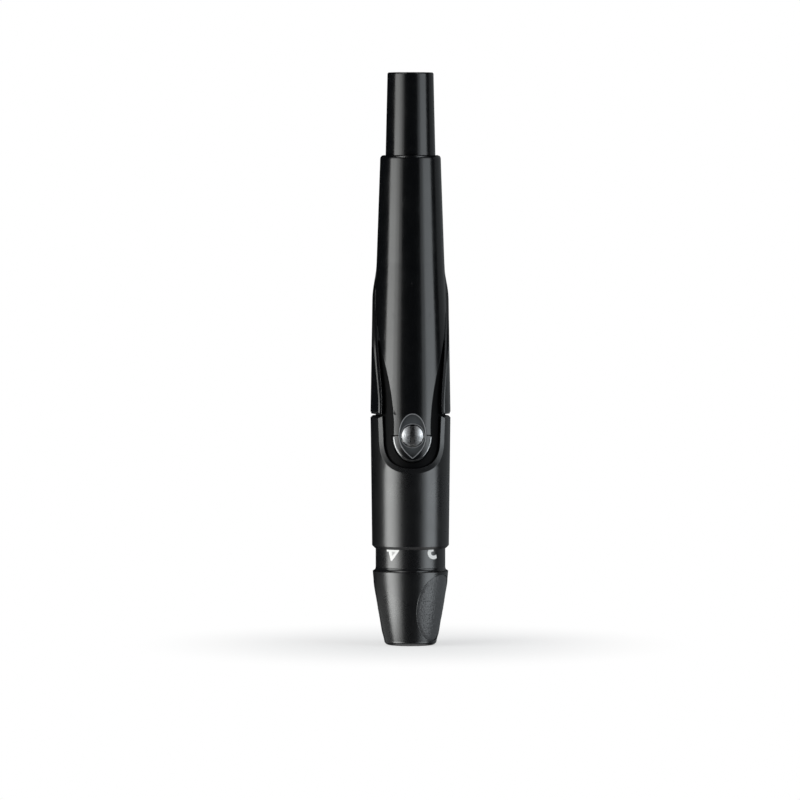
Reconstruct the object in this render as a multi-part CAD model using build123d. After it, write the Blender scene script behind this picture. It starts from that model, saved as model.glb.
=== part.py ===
# Pen lancing device: a push-to-prime plunger winds a torsion spring, a rocker
# button releases it, and a grooved drum throws the lancet holder out and back.
# The pen stands on its nose: +Z is up, towards the plunger, and -Y is the front,
# the side of the release button. The origin is the centre of the nose's flat end.
# All sizes are in millimetres.

import os
from math import atan, ceil, cos, hypot, radians, sin, sqrt

from build123d import *

# Lancet, its holder and the stroke that they make
LANCET_RADIUS = 2.95          # bore of the socket, for a 5.9 mm lancet body
SOCKET_DEPTH = 8.5
SOCKET_WALL = 0.65
SOCKET_SLIT = 0.5
STROKE = 6.0                  # travel of the lancet holder
THROW_ANGLE = 150.0           # turn of the drum for one stroke, in degrees
SPRING_ROOM = 4.0             # length that the holder's spring keeps at full stroke

# Drum with the cam groove, and the cage that carries the follower
DRUM_RADIUS = 3.9
GROOVE_DEPTH = 1.05
DRUM_RIM = 0.9                # land left beyond the groove, at each end
DRUM_FLANGE = 0.7             # how far the stop flange stands out
DRUM_FLANGE_HEIGHT = 1.4
DRUM_SHAFT_RADIUS = 1.9
FOLLOWER_RADIUS = 0.55
FOLLOWER_PLAY = 0.08
CAGE_WALL = 0.7
CAGE_FLOOR = 1.6

# Chassis
CHASSIS_WALL = 2.35
WEB = 2.0                     # thickness of each cross wall

# Winding mechanism
PRIME_STROKE = 8.0
SPINDLE_WIDTH = 2.8
SPINDLE_THICKNESS = 1.2
SPINDLE_LEAD = 16.0           # one full twist of the spindle
WINDER_RADIUS = 5.0
WINDER_HEIGHT = 6.8
WINDER_PLATE = 2.0
WINDER_BORE = 3.0
DRIVE_SPRING_LENGTH = 8.8
DRIVE_SPRING_WIRE = 0.3       # radius of the wire
HUB_FLANGE = 1.0
HUB_BOSS = 1.8
CUP_WALL = 0.9

# Plunger
PLUNGER_RADIUS = 5.13         # at the mouth of the housing
PLUNGER_DRAFT = 0.38          # how much the plunger narrows to its end
PLUNGER_WALL = 0.85
PLUNGER_EXPOSED = 17.0
PLUNGER_ROOF = 3.5
PLUNGER_SKIRT = 2.8
PLUNGER_FLANGE = 0.5
PLUNGER_FLANGE_HEIGHT = 2.0
PLUNGER_DISH = 0.35           # depth of the thumb dish in the end
SPINDLE_HEAD_RADIUS = 1.9
PLUNGER_EDGE = 0.35
RETURN_SPRING_WIRE = 0.25
SPIGOT_WALL = 0.3             # round the spindle, to centre the return spring
SPIGOT_RISE = 1.2

# Outer skin
SLEEVE_WALL = 0.95
SLEEVE_DRAFT = 0.31           # how much the sleeve narrows to its mouth
SLEEVE_HEIGHT = 27.35
SPLIT_GAP = 0.45
SPLIT_BEVEL = 0.38
MOUTH_BEVEL = 0.6
BAND_HEIGHT = 4.7             # scale band that shows between sleeve and nose
LIP_HEIGHT = 3.6              # length of the bore that guides the plunger
LIP_WALL = 1.02
LIP_ROUND = 0.75
NECK_WALL = 0.79              # skin over the rear cup, where the cone meets the hood
HOOD_STEP = 0.38              # how much the hood widens from the flare to the split
HOOD_SWELL = 0.85             # least that the hood stands out past the cone's foot
HOOD_FLARE = 7.6              # length over which the hood swells out of the cone
HOOD_HEIGHT = 31.1            # from the split to the top of the flare
TONGUE_FALL = 0.13            # how far the tongue lies under the hood at the split
GROOVE_END = 0.669            # share of the hood's height where its groove closes
RIM_WIDTH = 0.95              # flat bevel along the hood's and the recess's outer edges
RIM_DEPTH = 0.45
TONGUE_ROUND = 0.3
# Edges of the hood and of the tongue: share of the hood's height, half angle
HOOD_EDGE = [(0.151, 50.0), (0.354, 57.0), (0.553, 66.0), (GROOVE_END, 71.8), (0.804, 78.0), (1.016, 93.0)]
TONGUE_EDGE = [(0.058, 30.5), (0.232, 37.0), (0.354, 44.5), (0.508, 58.0), (GROOVE_END, 71.0)]
EJECT_STROKE = 3.6

# Release button
WINDOW_DROP = 4.3             # centre of the window below the split
WINDOW_RADIUS = 2.37
WINDOW_RISE = 0.7             # height of the lens over its seat
EYE_HALF_WIDTH = 2.76
EYE_UP = 4.5
EYE_DOWN = 4.6
BUTTON_HALF_ANGLE = 29.0      # of the button and of the tongue's end, in degrees
BUTTON_BEVEL = 0.4
EYE_BEVEL = 0.1
BUTTON_DROP = 5.4             # from the window's centre to the button's lower end
RECESS_DROP = 6.8             # from the window's centre to the recess's lower end
RECESS_BOWL = 5.8             # height of the recess's rounded end
RECESS_HALF_ANGLE = 50.5
PRESS_ANGLE = 5.0
LEVER_REACH = 8.5             # from the window's centre up to the pivot
SEAR_REACH = 8.4              # from the pivot up to the drum's flange
LEVER_HALF_WIDTH = 1.8
PIVOT_RADIUS = 0.4
INDICATOR_TRAVEL = 4.0
INDICATOR_HALF_WIDTH = 2.7
INDICATOR_THICKNESS = 0.35

# Nose cap and depth dial
NOSE_HEIGHT = 15.3
NOSE_TIP_RADIUS = 5.42
NOSE_BULGE = 0.32
NOSE_ROUND = 0.9
NOSE_WALL = 0.9
NOSE_FLOOR = 1.4
NOSE_LIP = 0.61               # how far the nose stands out past the scale band
APERTURE_RADIUS = 2.4
GRIP_ANGLE = 54.0             # of the first thumb patch, from the front
GRIP_HALF_ANGLE = 46.0
GRIP_HALF_HEIGHT = 6.9
GRIP_DEPTH = 0.18
CORE_WALL = 0.7
CORE_PLAY = 1.3               # between the holder's stem and the cap core
CORE_ABOVE = 11.0             # core above the sleeve's mouth
CORE_BELOW = 6.3              # core below the nose's top
STEP_ANGLE = 34.0             # turn of the dial for half a number
STEP_DEPTH = 0.2              # and how far it moves along the axis
STEPS_UP = 4                  # half numbers from the modelled setting, 3.5, to 5.5
STEPS_DOWN = 6                # and to 0.5
THREAD_DEPTH = 0.4
THREAD_WIDTH = 0.9
THREAD_TURNS = 1.0
THREAD_START = 40.0           # where the thread begins, in degrees from +X
CLICK_RING_HEIGHT = 1.6
CLICK_RING_WALL = 0.7
SPIGOT_HEIGHT = 3.0
RING_TUCK = 3.0               # how far the scale ring goes up into the sleeve

# Fits, each a gap on the radius or along the axis
SLIDE_FIT = 0.05
LOOSE_FIT = 0.1
RUN_FIT = 0.15
END_PLAY = 0.2

# The cutters' rays fan out from a line this far behind the axis
RAY_BACK = 3.0

# Radii, from the inside out
stem_radius = LANCET_RADIUS + SOCKET_WALL
cage_bore = DRUM_RADIUS + RUN_FIT
cage_radius = cage_bore + CAGE_WALL
chassis_bore = max(cage_radius, DRUM_RADIUS + DRUM_FLANGE) + LOOSE_FIT
cup_bore = WINDER_RADIUS + LOOSE_FIT * 3
cup_radius = cup_bore + CUP_WALL
cup_seat = cup_radius
neck_radius = cup_seat + NECK_WALL
least_body = neck_radius + HOOD_SWELL + HOOD_STEP
chassis_radius = max(chassis_bore + CHASSIS_WALL, least_body - SLEEVE_WALL - LOOSE_FIT)
sleeve_bore = chassis_radius + LOOSE_FIT
body_radius = sleeve_bore + SLEEVE_WALL
sleeve_low_radius = body_radius - SLEEVE_DRAFT
housing_bore = chassis_radius
plunger_bore = PLUNGER_RADIUS + LOOSE_FIT
flange_radius = PLUNGER_RADIUS + PLUNGER_FLANGE
flange_bore = flange_radius + LOOSE_FIT
top_radius = plunger_bore + LIP_WALL
hood_radius = body_radius - HOOD_STEP
tongue_radius = body_radius - TONGUE_FALL
core_bore = stem_radius + CORE_PLAY
core_radius = core_bore + CORE_WALL
ring_bore = core_radius + LOOSE_FIT
band_radius = chassis_radius - 0.01
nose_top_radius = band_radius + NOSE_LIP
spindle_reach = sqrt(SPINDLE_WIDTH**2 + SPINDLE_THICKNESS**2) / 2
spigot_radius = spindle_reach + LOOSE_FIT + SPIGOT_WALL
plunger_cavity = PLUNGER_RADIUS - PLUNGER_DRAFT - PLUNGER_WALL
return_spring_radius = (spigot_radius + plunger_cavity) / 2

# Heights, from the nose up
z_nose_top = NOSE_HEIGHT
z_mouth = z_nose_top + BAND_HEIGHT
z_sleeve_top = z_mouth + SLEEVE_HEIGHT
z_split = z_sleeve_top + SPLIT_GAP
z_window = z_split - WINDOW_DROP
z_button_low = z_window - BUTTON_DROP
z_recess_low = z_window - RECESS_DROP
z_tongue_low = z_window + 0.15
z_pivot = z_window + LEVER_REACH
z_flange = z_pivot + SEAR_REACH

# The groove is widest, along the axis, where it is steepest: at its floor
groove_floor_radius = DRUM_RADIUS - GROOVE_DEPTH
groove_slope = atan(STROKE / (groove_floor_radius * radians(THROW_ANGLE)))
groove_height = 2 * (FOLLOWER_RADIUS + FOLLOWER_PLAY) / cos(groove_slope)
turn_back = (180 - THROW_ANGLE) / 2          # half the arc in which the groove turns back
groove_crest = STROKE * turn_back / THROW_ANGLE / 2
z_follower = z_flange - DRUM_RIM - groove_crest - groove_height / 2
z_drum_low = z_follower - STROKE - groove_crest - groove_height / 2 - DRUM_RIM
z_cage_top = z_flange - END_PLAY * 2
z_cage_seat = z_drum_low - END_PLAY * 4
z_cage_low = z_cage_seat - CAGE_FLOOR
z_web_top = z_cage_low - STROKE - SPRING_ROOM
z_web_low = z_web_top - WEB
z_seat = z_mouth + SOCKET_DEPTH

crossbar_radius = 0.6
z_crossbar = z_seat + crossbar_radius + 0.5
z_core_top = z_mouth + CORE_ABOVE
z_core_low = z_nose_top - CORE_BELOW
z_chassis_low = z_mouth + RING_TUCK + 1.2
z_counterbore = z_core_top + 0.5

z_join = z_flange + DRUM_FLANGE_HEIGHT + END_PLAY * 6
z_cup_shoulder = z_join + 3.0
z_cup_floor = z_join + WEB
z_hub = z_cup_floor + END_PLAY
z_spring_low = z_hub + HUB_FLANGE
z_hub_top = z_spring_low + HUB_BOSS
z_winder_low = z_spring_low + DRIVE_SPRING_LENGTH
z_winder_top = z_winder_low + WINDER_HEIGHT
z_plate_low = z_winder_top + END_PLAY
z_plate_top = z_plate_low + WEB
z_skirt_low = z_plate_top + PRIME_STROKE + 0.5
z_plunger_flange = z_skirt_low + PLUNGER_SKIRT
z_lip_low = z_plunger_flange + PLUNGER_FLANGE_HEIGHT + LOOSE_FIT
z_housing_top = z_lip_low + LIP_HEIGHT
z_top = z_housing_top + PLUNGER_EXPOSED
z_plunger_roof = z_top - PLUNGER_ROOF
z_spindle_low = z_winder_top - WINDER_PLATE - 1.5

z_hood_top = z_split + HOOD_HEIGHT
z_hood_full = z_hood_top - HOOD_FLARE
z_groove_end = z_split + HOOD_HEIGHT * GROOVE_END

# The release lever lies between these depths, measured from the axis
pocket_floor = chassis_bore + 0.35
indicator_back = pocket_floor + SLIDE_FIT
indicator_front = indicator_back + INDICATOR_THICKNESS
press_travel = (LEVER_REACH + BUTTON_DROP) * sin(radians(PRESS_ANGLE))
button_back = indicator_front + press_travel + LOOSE_FIT * 0.5
pivot_depth = pocket_floor + 0.8
sear_depth = DRUM_RADIUS + DRUM_FLANGE + RUN_FIT
eye_floor = tongue_radius - 0.62
pocket_half_width = INDICATOR_HALF_WIDTH + 0.3
waist_half_width = LEVER_HALF_WIDTH + 0.3
pin_reach = sqrt(chassis_radius**2 - (pivot_depth + PIVOT_RADIUS) ** 2) - 0.4
thread_pitch = STEP_DEPTH * 360 / STEP_ANGLE
z_thread_low = z_nose_top + 1.2
z_pocket_low = z_window - BUTTON_DROP + 0.4
z_pocket_top = z_flange + DRUM_FLANGE_HEIGHT + 0.7

BOTTOM = (Align.CENTER, Align.CENTER, Align.MIN)


def rod(radius, low, high):
    """A round bar on the axis, from one height to another."""
    return Pos(0, 0, low) * Cylinder(radius, high - low, align=BOTTOM)


def ring(outer, inner, low, high):
    """A plain tube on the axis."""
    return rod(outer, low, high) - rod(inner, low, high)


def block(x, y, z):
    """A box given by its (low, high) pairs."""
    centre = [(low + high) / 2 for low, high in (x, y, z)]
    return Pos(*centre) * Box(x[1] - x[0], y[1] - y[0], z[1] - z[0])


def turned(*edges):
    """The solid turned round the axis by a closed profile of (radius, height)."""
    profile = make_face(Plane.XZ * Wire(Curve() + list(edges)))
    return revolve(profile, Axis.Z)


def turned_polygon(*points):
    """The solid turned round the axis by straight lines between the points."""
    return turned(*[Line(a, b) for a, b in zip(points, points[1:] + points[:1])])


def ray(half_angle, radius, distance):
    """How wide a ray cutter is at a distance from its apex line, so that its
    edge passes the half angle on a cylinder of the radius."""
    spread = radius * sin(radians(half_angle)) / (radius * cos(radians(half_angle)) + RAY_BACK)
    return distance * spread


def ray_cutter(outline):
    """The solid that fans out from the apex line to the front, through an
    outline. The outline takes the distance from the apex line."""
    near, far = RAY_BACK - 0.5, RAY_BACK + body_radius * 1.7
    faces = [
        Plane(origin=(0, RAY_BACK - d, 0), x_dir=(1, 0, 0), z_dir=(0, -1, 0)) * outline(d)
        for d in (near, far)
    ]
    return loft(faces, ruled=True)


def arch(edge, radius, top, bottom=None):
    """An outline for ray_cutter: both sides follow the points of (half angle,
    height), and it is closed straight across. A bottom below the first point
    rounds the lower end off as half an ellipse."""

    def outline(distance):
        side = [(ray(angle, radius, distance), z) for angle, z in edge]
        right = Spline(side) if len(side) > 2 else Line(*side)
        left = mirror(right, Plane.YZ)
        lines = [right, left]
        foot, head = side[0], side[-1]
        if bottom is None:
            lines.append(Line((-foot[0], foot[1]), foot))
        else:
            lines.append(
                EllipticalCenterArc((0, foot[1]), foot[0], foot[1] - bottom, 180, arc_size=180)
            )
        if top > head[1]:
            lines += [
                Line(head, (head[0], top)),
                Line((head[0], top), (-head[0], top)),
                Line((-head[0], top), (-head[0], head[1])),
            ]
        else:
            lines.append(Line((-head[0], head[1]), head))
        return make_face(Wire(Curve() + lines))

    return outline


def front_sketch(face, near, far):
    """A face drawn as (x, height), cut through from one depth to another."""
    plane = Plane(origin=(0, -near, 0), x_dir=(1, 0, 0), z_dir=(0, -1, 0))
    return extrude(plane * face, far - near)


def coil(radius, wire, low, high, turns):
    """A round-wire coil spring between two seats."""
    pitch = (high - low - 2 * wire) / turns
    path = Pos(0, 0, low + wire) * Edge.make_helix(pitch, pitch * turns, radius)
    start = Plane(origin=path @ 0, z_dir=path % 0)
    return sweep(start * Circle(wire), path, is_frenet=True)


def twisted_bar(width, thickness, low, high):
    """A flat bar twisted round the axis with the spindle's lead."""
    steps = ceil((high - low) / (SPINDLE_LEAD / 8))
    heights = [low + (high - low) * i / steps for i in range(steps + 1)]
    sections = [
        Pos(0, 0, z) * Rot(0, 0, 360 * z / SPINDLE_LEAD) * Rectangle(width, thickness)
        for z in heights
    ]
    return loft(sections)


def upright(radius, z):
    """The plane through the axis and +X, placed at a radius and a height."""
    return Plane(origin=(radius, 0, z), x_dir=(1, 0, 0), z_dir=(0, -1, 0))


def screw_rib(inner, outer, width, first, last):
    """A square helical rib between two numbers of turns, counted from the start
    of the dial's thread."""
    steps = ceil((last - first) * 12)
    face = Rectangle(outer - inner, width)
    sections = []
    for i in range(steps + 1):
        turn = first + (last - first) * i / steps
        place = upright((inner + outer) / 2, z_thread_low + thread_pitch * turn)
        sections.append(Rot(0, 0, THREAD_START + 360 * turn) * (place * face))
    return loft(sections)


# Cone of the rear housing, and what continues it down to the button
def cone_radius(z):
    """Radius of the bare cone at a height."""
    share = (z_housing_top - z) / (z_housing_top - z_hood_top)
    return top_radius + (neck_radius - top_radius) * share


def skin(low, hooded):
    """The rear housing's outside as one solid, with the hood or without."""
    crown = z_housing_top - LIP_ROUND
    lines = [
        Line((0, low), (body_radius if hooded else tongue_radius, low)),
        Line((top_radius - LIP_ROUND, z_housing_top), (0, z_housing_top)),
        Line((0, z_housing_top), (0, low)),
        Line((cone_radius(z_hood_top), z_hood_top), (top_radius, crown)),
        ThreePointArc(
            (top_radius, crown),
            (top_radius - LIP_ROUND * 0.3, z_housing_top - LIP_ROUND * 0.3),
            (top_radius - LIP_ROUND, z_housing_top),
        ),
    ]
    start = (cone_radius(z_hood_top), z_hood_top)
    if hooded:
        lines[0] = Line((0, low), (body_radius - SPLIT_BEVEL, low))
        lines += [
            Line((body_radius - SPLIT_BEVEL, low), (body_radius, low + SPLIT_BEVEL)),
            Line((body_radius, low + SPLIT_BEVEL), (hood_radius, z_hood_full)),
            Bezier(
                (hood_radius, z_hood_full),
                (hood_radius - 0.05, z_hood_full + HOOD_FLARE * 0.4),
                (start[0] + 0.1, z_hood_top - HOOD_FLARE * 0.4),
                start,
            ),
        ]
    else:
        knee = z_split + (z_hood_top - z_split) * 0.3
        lines.append(Bezier((tongue_radius, z_split), (tongue_radius - 0.02, knee), start))
        if low < z_split:
            lines.append(Line((tongue_radius, low), (tongue_radius, z_split)))
    return turned(*lines)


def edge_points(table, low, high):
    """Points of (half angle, height) for the rows of a table between two shares
    of the hood's height."""
    return [(angle, z_split + HOOD_HEIGHT * share) for share, angle in table if low <= share <= high]


hood_foot = [(RECESS_HALF_ANGLE, z_split - SPLIT_GAP - SPLIT_BEVEL)]
hood_edge = hood_foot + edge_points(HOOD_EDGE, 0, 2)
hood_edge_low = hood_foot + edge_points(HOOD_EDGE, 0, GROOVE_END)
tongue_edge = [(BUTTON_HALF_ANGLE, z_tongue_low)] + edge_points(TONGUE_EDGE, 0, GROOVE_END)


def rim_edges(solid, reach, top):
    """The edges that ray cutters have left on the outer skin, beyond a radius and
    below a height."""
    ends = [0, 0.25, 0.5, 0.75, 1]
    return [
        edge
        for edge in solid.edges().filter_by(GeomType.BSPLINE)
        if all(hypot((edge @ t).X, (edge @ t).Y) > reach and (edge @ t).Z < top for t in ends)
        and edge.length > 2 * RIM_WIDTH
    ]


def flat_bevel(solid, edges):
    """A bevel along rim edges, wider on the outer skin than on the wall."""

    def faces_out(face):
        spot = edges[0] @ 0.5
        normal = face.normal_at(spot)
        return normal.X * spot.X + normal.Y * spot.Y

    beside = [face for face in solid.faces() if any(e.is_same(edges[0]) for e in face.edges())]
    return chamfer(edges, RIM_WIDTH, RIM_DEPTH, reference=max(beside, key=faces_out))


def eye(grow=0.0):
    """The long oval round the window, rounded above and pointed below."""
    half, up, down = EYE_HALF_WIDTH + grow, EYE_UP + grow, EYE_DOWN + grow
    upper = EllipticalCenterArc((0, z_window), half, up, 0, arc_size=180)
    tip = (0, z_window - down)
    right = Bezier((half, z_window), (half, z_window - down * 0.55), tip)
    left = mirror(right, Plane.YZ)
    return make_face(Wire(Curve() + [upper, right, left]))


def button_outline(grow=0.0):
    """The button seen from the front: a U below the split, the eye above it."""
    half = tongue_radius * sin(radians(BUTTON_HALF_ANGLE)) + grow
    bowl = make_face(
        Wire(
            Curve()
            + [
                EllipticalCenterArc((0, z_window), half, BUTTON_DROP + grow, 180, arc_size=180),
                Line((half, z_window), (-half, z_window)),
            ]
        )
    )
    return bowl + eye(grow)


def make_rear_housing():
    """Cone with the hood round its sides and back, and the tongue down the front."""
    opening = ray_cutter(arch(hood_edge, body_radius, z_hood_top + 3))
    tongue = ray_cutter(arch(tongue_edge, body_radius, z_groove_end))
    tongue = skin(z_tongue_low, False) & tongue
    sides = [e for e in tongue.edges().filter_by(GeomType.BSPLINE) if abs((e @ 0.5).X) > RAY_BACK]
    tongue = fillet([e for e in sides if e.length > 3], TONGUE_ROUND)
    channel = ray_cutter(arch(hood_edge_low, body_radius, z_groove_end)) - tongue
    hood = skin(z_split, True) - opening
    hood = flat_bevel(hood, rim_edges(hood, hood_radius - 0.02, z_hood_full + 0.01))
    body = hood + skin(z_split, False) + tongue
    body -= channel
    body -= rod(housing_bore, z_tongue_low - 1, z_cup_shoulder)
    body -= rod(cup_seat, z_cup_shoulder - 0.01, z_plate_top + END_PLAY)
    body -= rod(flange_bore, z_plate_top, z_lip_low)
    body -= rod(plunger_bore, z_lip_low - 0.01, z_housing_top + 1)
    return body - front_sketch(eye(LOOSE_FIT), 0, body_radius + 1)


def make_ejector_sleeve():
    """Front sleeve with the deep U that clears the button."""
    sleeve = turned_polygon(
        (0, z_mouth),
        (sleeve_low_radius - MOUTH_BEVEL, z_mouth),
        (sleeve_low_radius, z_mouth + MOUTH_BEVEL),
        (body_radius, z_sleeve_top - SPLIT_BEVEL),
        (body_radius - SPLIT_BEVEL, z_sleeve_top),
        (0, z_sleeve_top),
    )
    sides = [
        (RECESS_HALF_ANGLE - 2.5, z_recess_low + RECESS_BOWL),
        (RECESS_HALF_ANGLE, z_sleeve_top + 1),
    ]
    sleeve -= ray_cutter(arch(sides, body_radius, 0, bottom=z_recess_low))
    sleeve = flat_bevel(sleeve, rim_edges(sleeve, sleeve_low_radius, z_sleeve_top))
    sleeve -= rod(sleeve_bore, z_mouth - 1, z_sleeve_top + 1)
    reach = sleeve_bore + SLEEVE_WALL * 0.45
    bar = Rot(0, 90, 0) * Cylinder(crossbar_radius, 2 * reach)
    return sleeve - Pos(0, 0, z_crossbar) * bar


def make_ejector_crossbar():
    """Steel bar that pushes the used lancet out when the sleeve slides down."""
    reach = sleeve_bore + SLEEVE_WALL * 0.4
    return Pos(0, 0, z_crossbar) * Rot(0, 90, 0) * Cylinder(crossbar_radius, 2 * reach)


def make_front_chassis():
    """Inner tube: guides the holder, carries the release lever and the cap."""
    tube = rod(chassis_radius, z_chassis_low, z_join)
    tube -= rod(chassis_bore, z_web_top, z_join + 1)
    tube -= rod(stem_radius + SLIDE_FIT + 0.02, z_chassis_low - 1, z_web_top + 1)
    tube -= rod(chassis_bore, z_chassis_low - 1, z_web_low)
    tube -= rod(core_radius + SLIDE_FIT, z_chassis_low - 1, z_counterbore)
    # The crossbar runs in this slot, which is open at the foot
    slot = crossbar_radius + LOOSE_FIT
    tube -= block(
        (-chassis_radius - 1, chassis_radius + 1), (-slot, slot), (z_chassis_low - 1, z_crossbar + slot)
    )
    # Pocket of the lever over the indicator's shallow way, and the sear's window
    wide = (-pocket_half_width, pocket_half_width)
    waist = (-waist_half_width, waist_half_width)
    tube -= block(wide, (-indicator_front - SLIDE_FIT, -pocket_floor), (z_pocket_low, z_pocket_top))
    tube -= block(waist, (-chassis_radius - 1, -pocket_floor), (z_window, z_pocket_top))
    tube -= block(waist, (-chassis_radius - 1, 0), (z_flange - 0.8, z_pocket_top))
    tube -= front_sketch(button_outline(0.25), indicator_front, chassis_radius + 1)
    pin = Rot(0, 90, 0) * Cylinder(PIVOT_RADIUS, 2 * pin_reach + 0.1)
    tube -= Pos(0, -pivot_depth, z_pivot) * pin
    # The follower's head keeps the holder from turning in this slot
    half = FOLLOWER_RADIUS + FOLLOWER_PLAY
    low, high = z_follower - STROKE - half, z_follower + half
    return tube - block((-half, half), (0, chassis_bore + 1.0), (low, high))


def make_lancet_holder():
    """Sprung socket for the lancet, on a stem that ends in the follower's cage."""
    holder = rod(stem_radius, z_mouth, z_cage_low + 0.01)
    holder += rod(cage_radius, z_cage_low, z_cage_top)
    holder -= rod(cage_bore, z_cage_seat, z_cage_top + 1)
    holder -= rod(LANCET_RADIUS, z_mouth - 1, z_seat)
    slit = SOCKET_SLIT / 2
    holder -= block((-slit, slit), (-stem_radius - 1, stem_radius + 1), (z_mouth - 1, z_seat - 1))
    # Long slot for the ejector's crossbar
    half = crossbar_radius + LOOSE_FIT
    low, high = z_crossbar - EJECT_STROKE - half, z_crossbar + STROKE + half
    holder -= block((-stem_radius - 1, stem_radius + 1), (-half, half), (low, high))
    seat = Rot(90, 0, 0) * Cylinder(FOLLOWER_RADIUS, 2 * cage_radius)
    return holder - Pos(0, cage_radius + 1, z_follower) * seat


def make_follower_pin():
    """Steel pin that rides in the drum's groove and in the chassis's slot."""
    inner = groove_floor_radius + LOOSE_FIT
    outer = chassis_bore + 0.8
    pin = Rot(90, 0, 0) * Cylinder(FOLLOWER_RADIUS, outer - inner)
    return Pos(0, (inner + outer) / 2, z_follower) * pin


def groove_height_at(angle):
    """Height of the groove's middle at an angle back from the follower: straight
    ramps down and up, joined by parabolas where the holder turns back."""
    slope = STROKE / THROW_ANGLE
    turn = (angle + turn_back) % 360
    turn = min(turn, 360 - turn)
    if turn < turn_back:
        return z_follower + slope * (turn_back - turn**2 / turn_back) / 2
    if turn > 180 - turn_back:
        return z_follower - STROKE - slope * (turn_back - (180 - turn) ** 2 / turn_back) / 2
    return z_follower - slope * (turn - turn_back)


def make_cam_groove(start, end):
    """Half of the closed groove, as a loft of upright sections."""
    steps = 18
    outer = DRUM_RADIUS + 1
    face = Rectangle(outer - groove_floor_radius, groove_height)
    sections = []
    for i in range(steps + 1):
        angle = start + (end - start) * i / steps
        place = upright((outer + groove_floor_radius) / 2, groove_height_at(angle))
        sections.append(Rot(0, 0, 90 - angle) * (place * face))
    return loft(sections)


def make_drive_drum():
    """Barrel cam: its groove throws the follower out and back in one turn."""
    drum = rod(DRUM_RADIUS, z_drum_low, z_flange + 0.01)
    drum += rod(DRUM_RADIUS + DRUM_FLANGE, z_flange, z_flange + DRUM_FLANGE_HEIGHT)
    drum += rod(DRUM_SHAFT_RADIUS, z_flange, z_hub_top)
    # Notch that the sear drops into when the spring is wound
    notch = Cylinder(DRUM_FLANGE, 3 * DRUM_FLANGE_HEIGHT)
    drum -= Pos(0, -DRUM_RADIUS - DRUM_FLANGE, z_flange) * notch
    drum -= make_cam_groove(-turn_back, 180 - turn_back)
    return drum - make_cam_groove(180 - turn_back, 360 - turn_back)


def make_rear_chassis():
    """Cup behind the drum: bears its shaft and houses the winding parts."""
    cup = rod(chassis_radius, z_join, z_cup_shoulder)
    cup += rod(cup_radius, z_join, z_plate_top)
    cup -= rod(cup_bore, z_cup_floor, z_plate_top + 1)
    return cup - rod(DRUM_SHAFT_RADIUS + SLIDE_FIT, z_join - 1, z_cup_floor + 1)


def make_spring_hub():
    """Collar pressed on the drum's shaft: holds the drum and the drive spring."""
    hub = ring(WINDER_RADIUS - 0.5, DRUM_SHAFT_RADIUS, z_hub, z_spring_low)
    return hub + ring(WINDER_BORE - 0.1, DRUM_SHAFT_RADIUS, z_spring_low, z_hub_top)


def make_winder():
    """Sleeve that the spindle turns, with the drive spring's upper seat."""
    winder = rod(WINDER_RADIUS, z_winder_low, z_winder_top)
    winder -= rod(WINDER_BORE, z_winder_low - 1, z_winder_top - WINDER_PLATE)
    gap = 2 * LOOSE_FIT
    return winder - twisted_bar(
        SPINDLE_WIDTH + gap, SPINDLE_THICKNESS + gap, z_winder_top - WINDER_PLATE - 1, z_winder_top + 1
    )


def make_end_plate():
    """Lid of the cup, with the spring's spigot round the spindle."""
    bore = spindle_reach + LOOSE_FIT
    plate = ring(cup_bore, bore, z_plate_low, z_plate_top)
    return plate + ring(spigot_radius, bore, z_plate_top, z_plate_top + SPIGOT_RISE)


def make_winding_spindle():
    """Twisted bar fixed in the plunger: pushing it down turns the winder."""
    bar = twisted_bar(SPINDLE_WIDTH, SPINDLE_THICKNESS, z_spindle_low, z_plunger_roof)
    head_top = z_plunger_roof + PLUNGER_ROOF * 0.5
    return bar + rod(SPINDLE_HEAD_RADIUS, z_plunger_roof - 1.5, head_top)


def make_plunger():
    """Hollow push button with a dished end and a flange under the lip."""
    tip = PLUNGER_RADIUS - PLUNGER_DRAFT
    plunger = turned(
        Line((0, z_skirt_low), (PLUNGER_RADIUS, z_skirt_low)),
        Line((PLUNGER_RADIUS, z_skirt_low), (PLUNGER_RADIUS, z_plunger_flange)),
        Line((PLUNGER_RADIUS, z_plunger_flange), (flange_radius, z_plunger_flange)),
        Line((flange_radius, z_plunger_flange), (flange_radius, z_lip_low - LOOSE_FIT)),
        Line((flange_radius, z_lip_low - LOOSE_FIT), (PLUNGER_RADIUS, z_lip_low - LOOSE_FIT)),
        Line((PLUNGER_RADIUS, z_lip_low - LOOSE_FIT), (PLUNGER_RADIUS, z_housing_top)),
        Line((PLUNGER_RADIUS, z_housing_top), (tip, z_top - PLUNGER_EDGE)),
        ThreePointArc(
            (tip, z_top - PLUNGER_EDGE),
            (tip - PLUNGER_EDGE * 0.3, z_top - PLUNGER_EDGE * 0.3),
            (tip - PLUNGER_EDGE, z_top),
        ),
        Line((tip - PLUNGER_EDGE, z_top), (0, z_top)),
        Line((0, z_top), (0, z_skirt_low)),
    )
    # The thumb dish is a cap of a large ball
    edge = tip - 0.7
    ball = (edge**2 + PLUNGER_DISH**2) / (2 * PLUNGER_DISH)
    plunger -= Pos(0, 0, z_top - PLUNGER_DISH + ball) * Sphere(ball)
    plunger -= rod(plunger_cavity, z_skirt_low - 1, z_plunger_roof)
    return plunger - rod(SPINDLE_HEAD_RADIUS, z_plunger_roof - 1, z_plunger_roof + PLUNGER_ROOF * 0.5)


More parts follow.
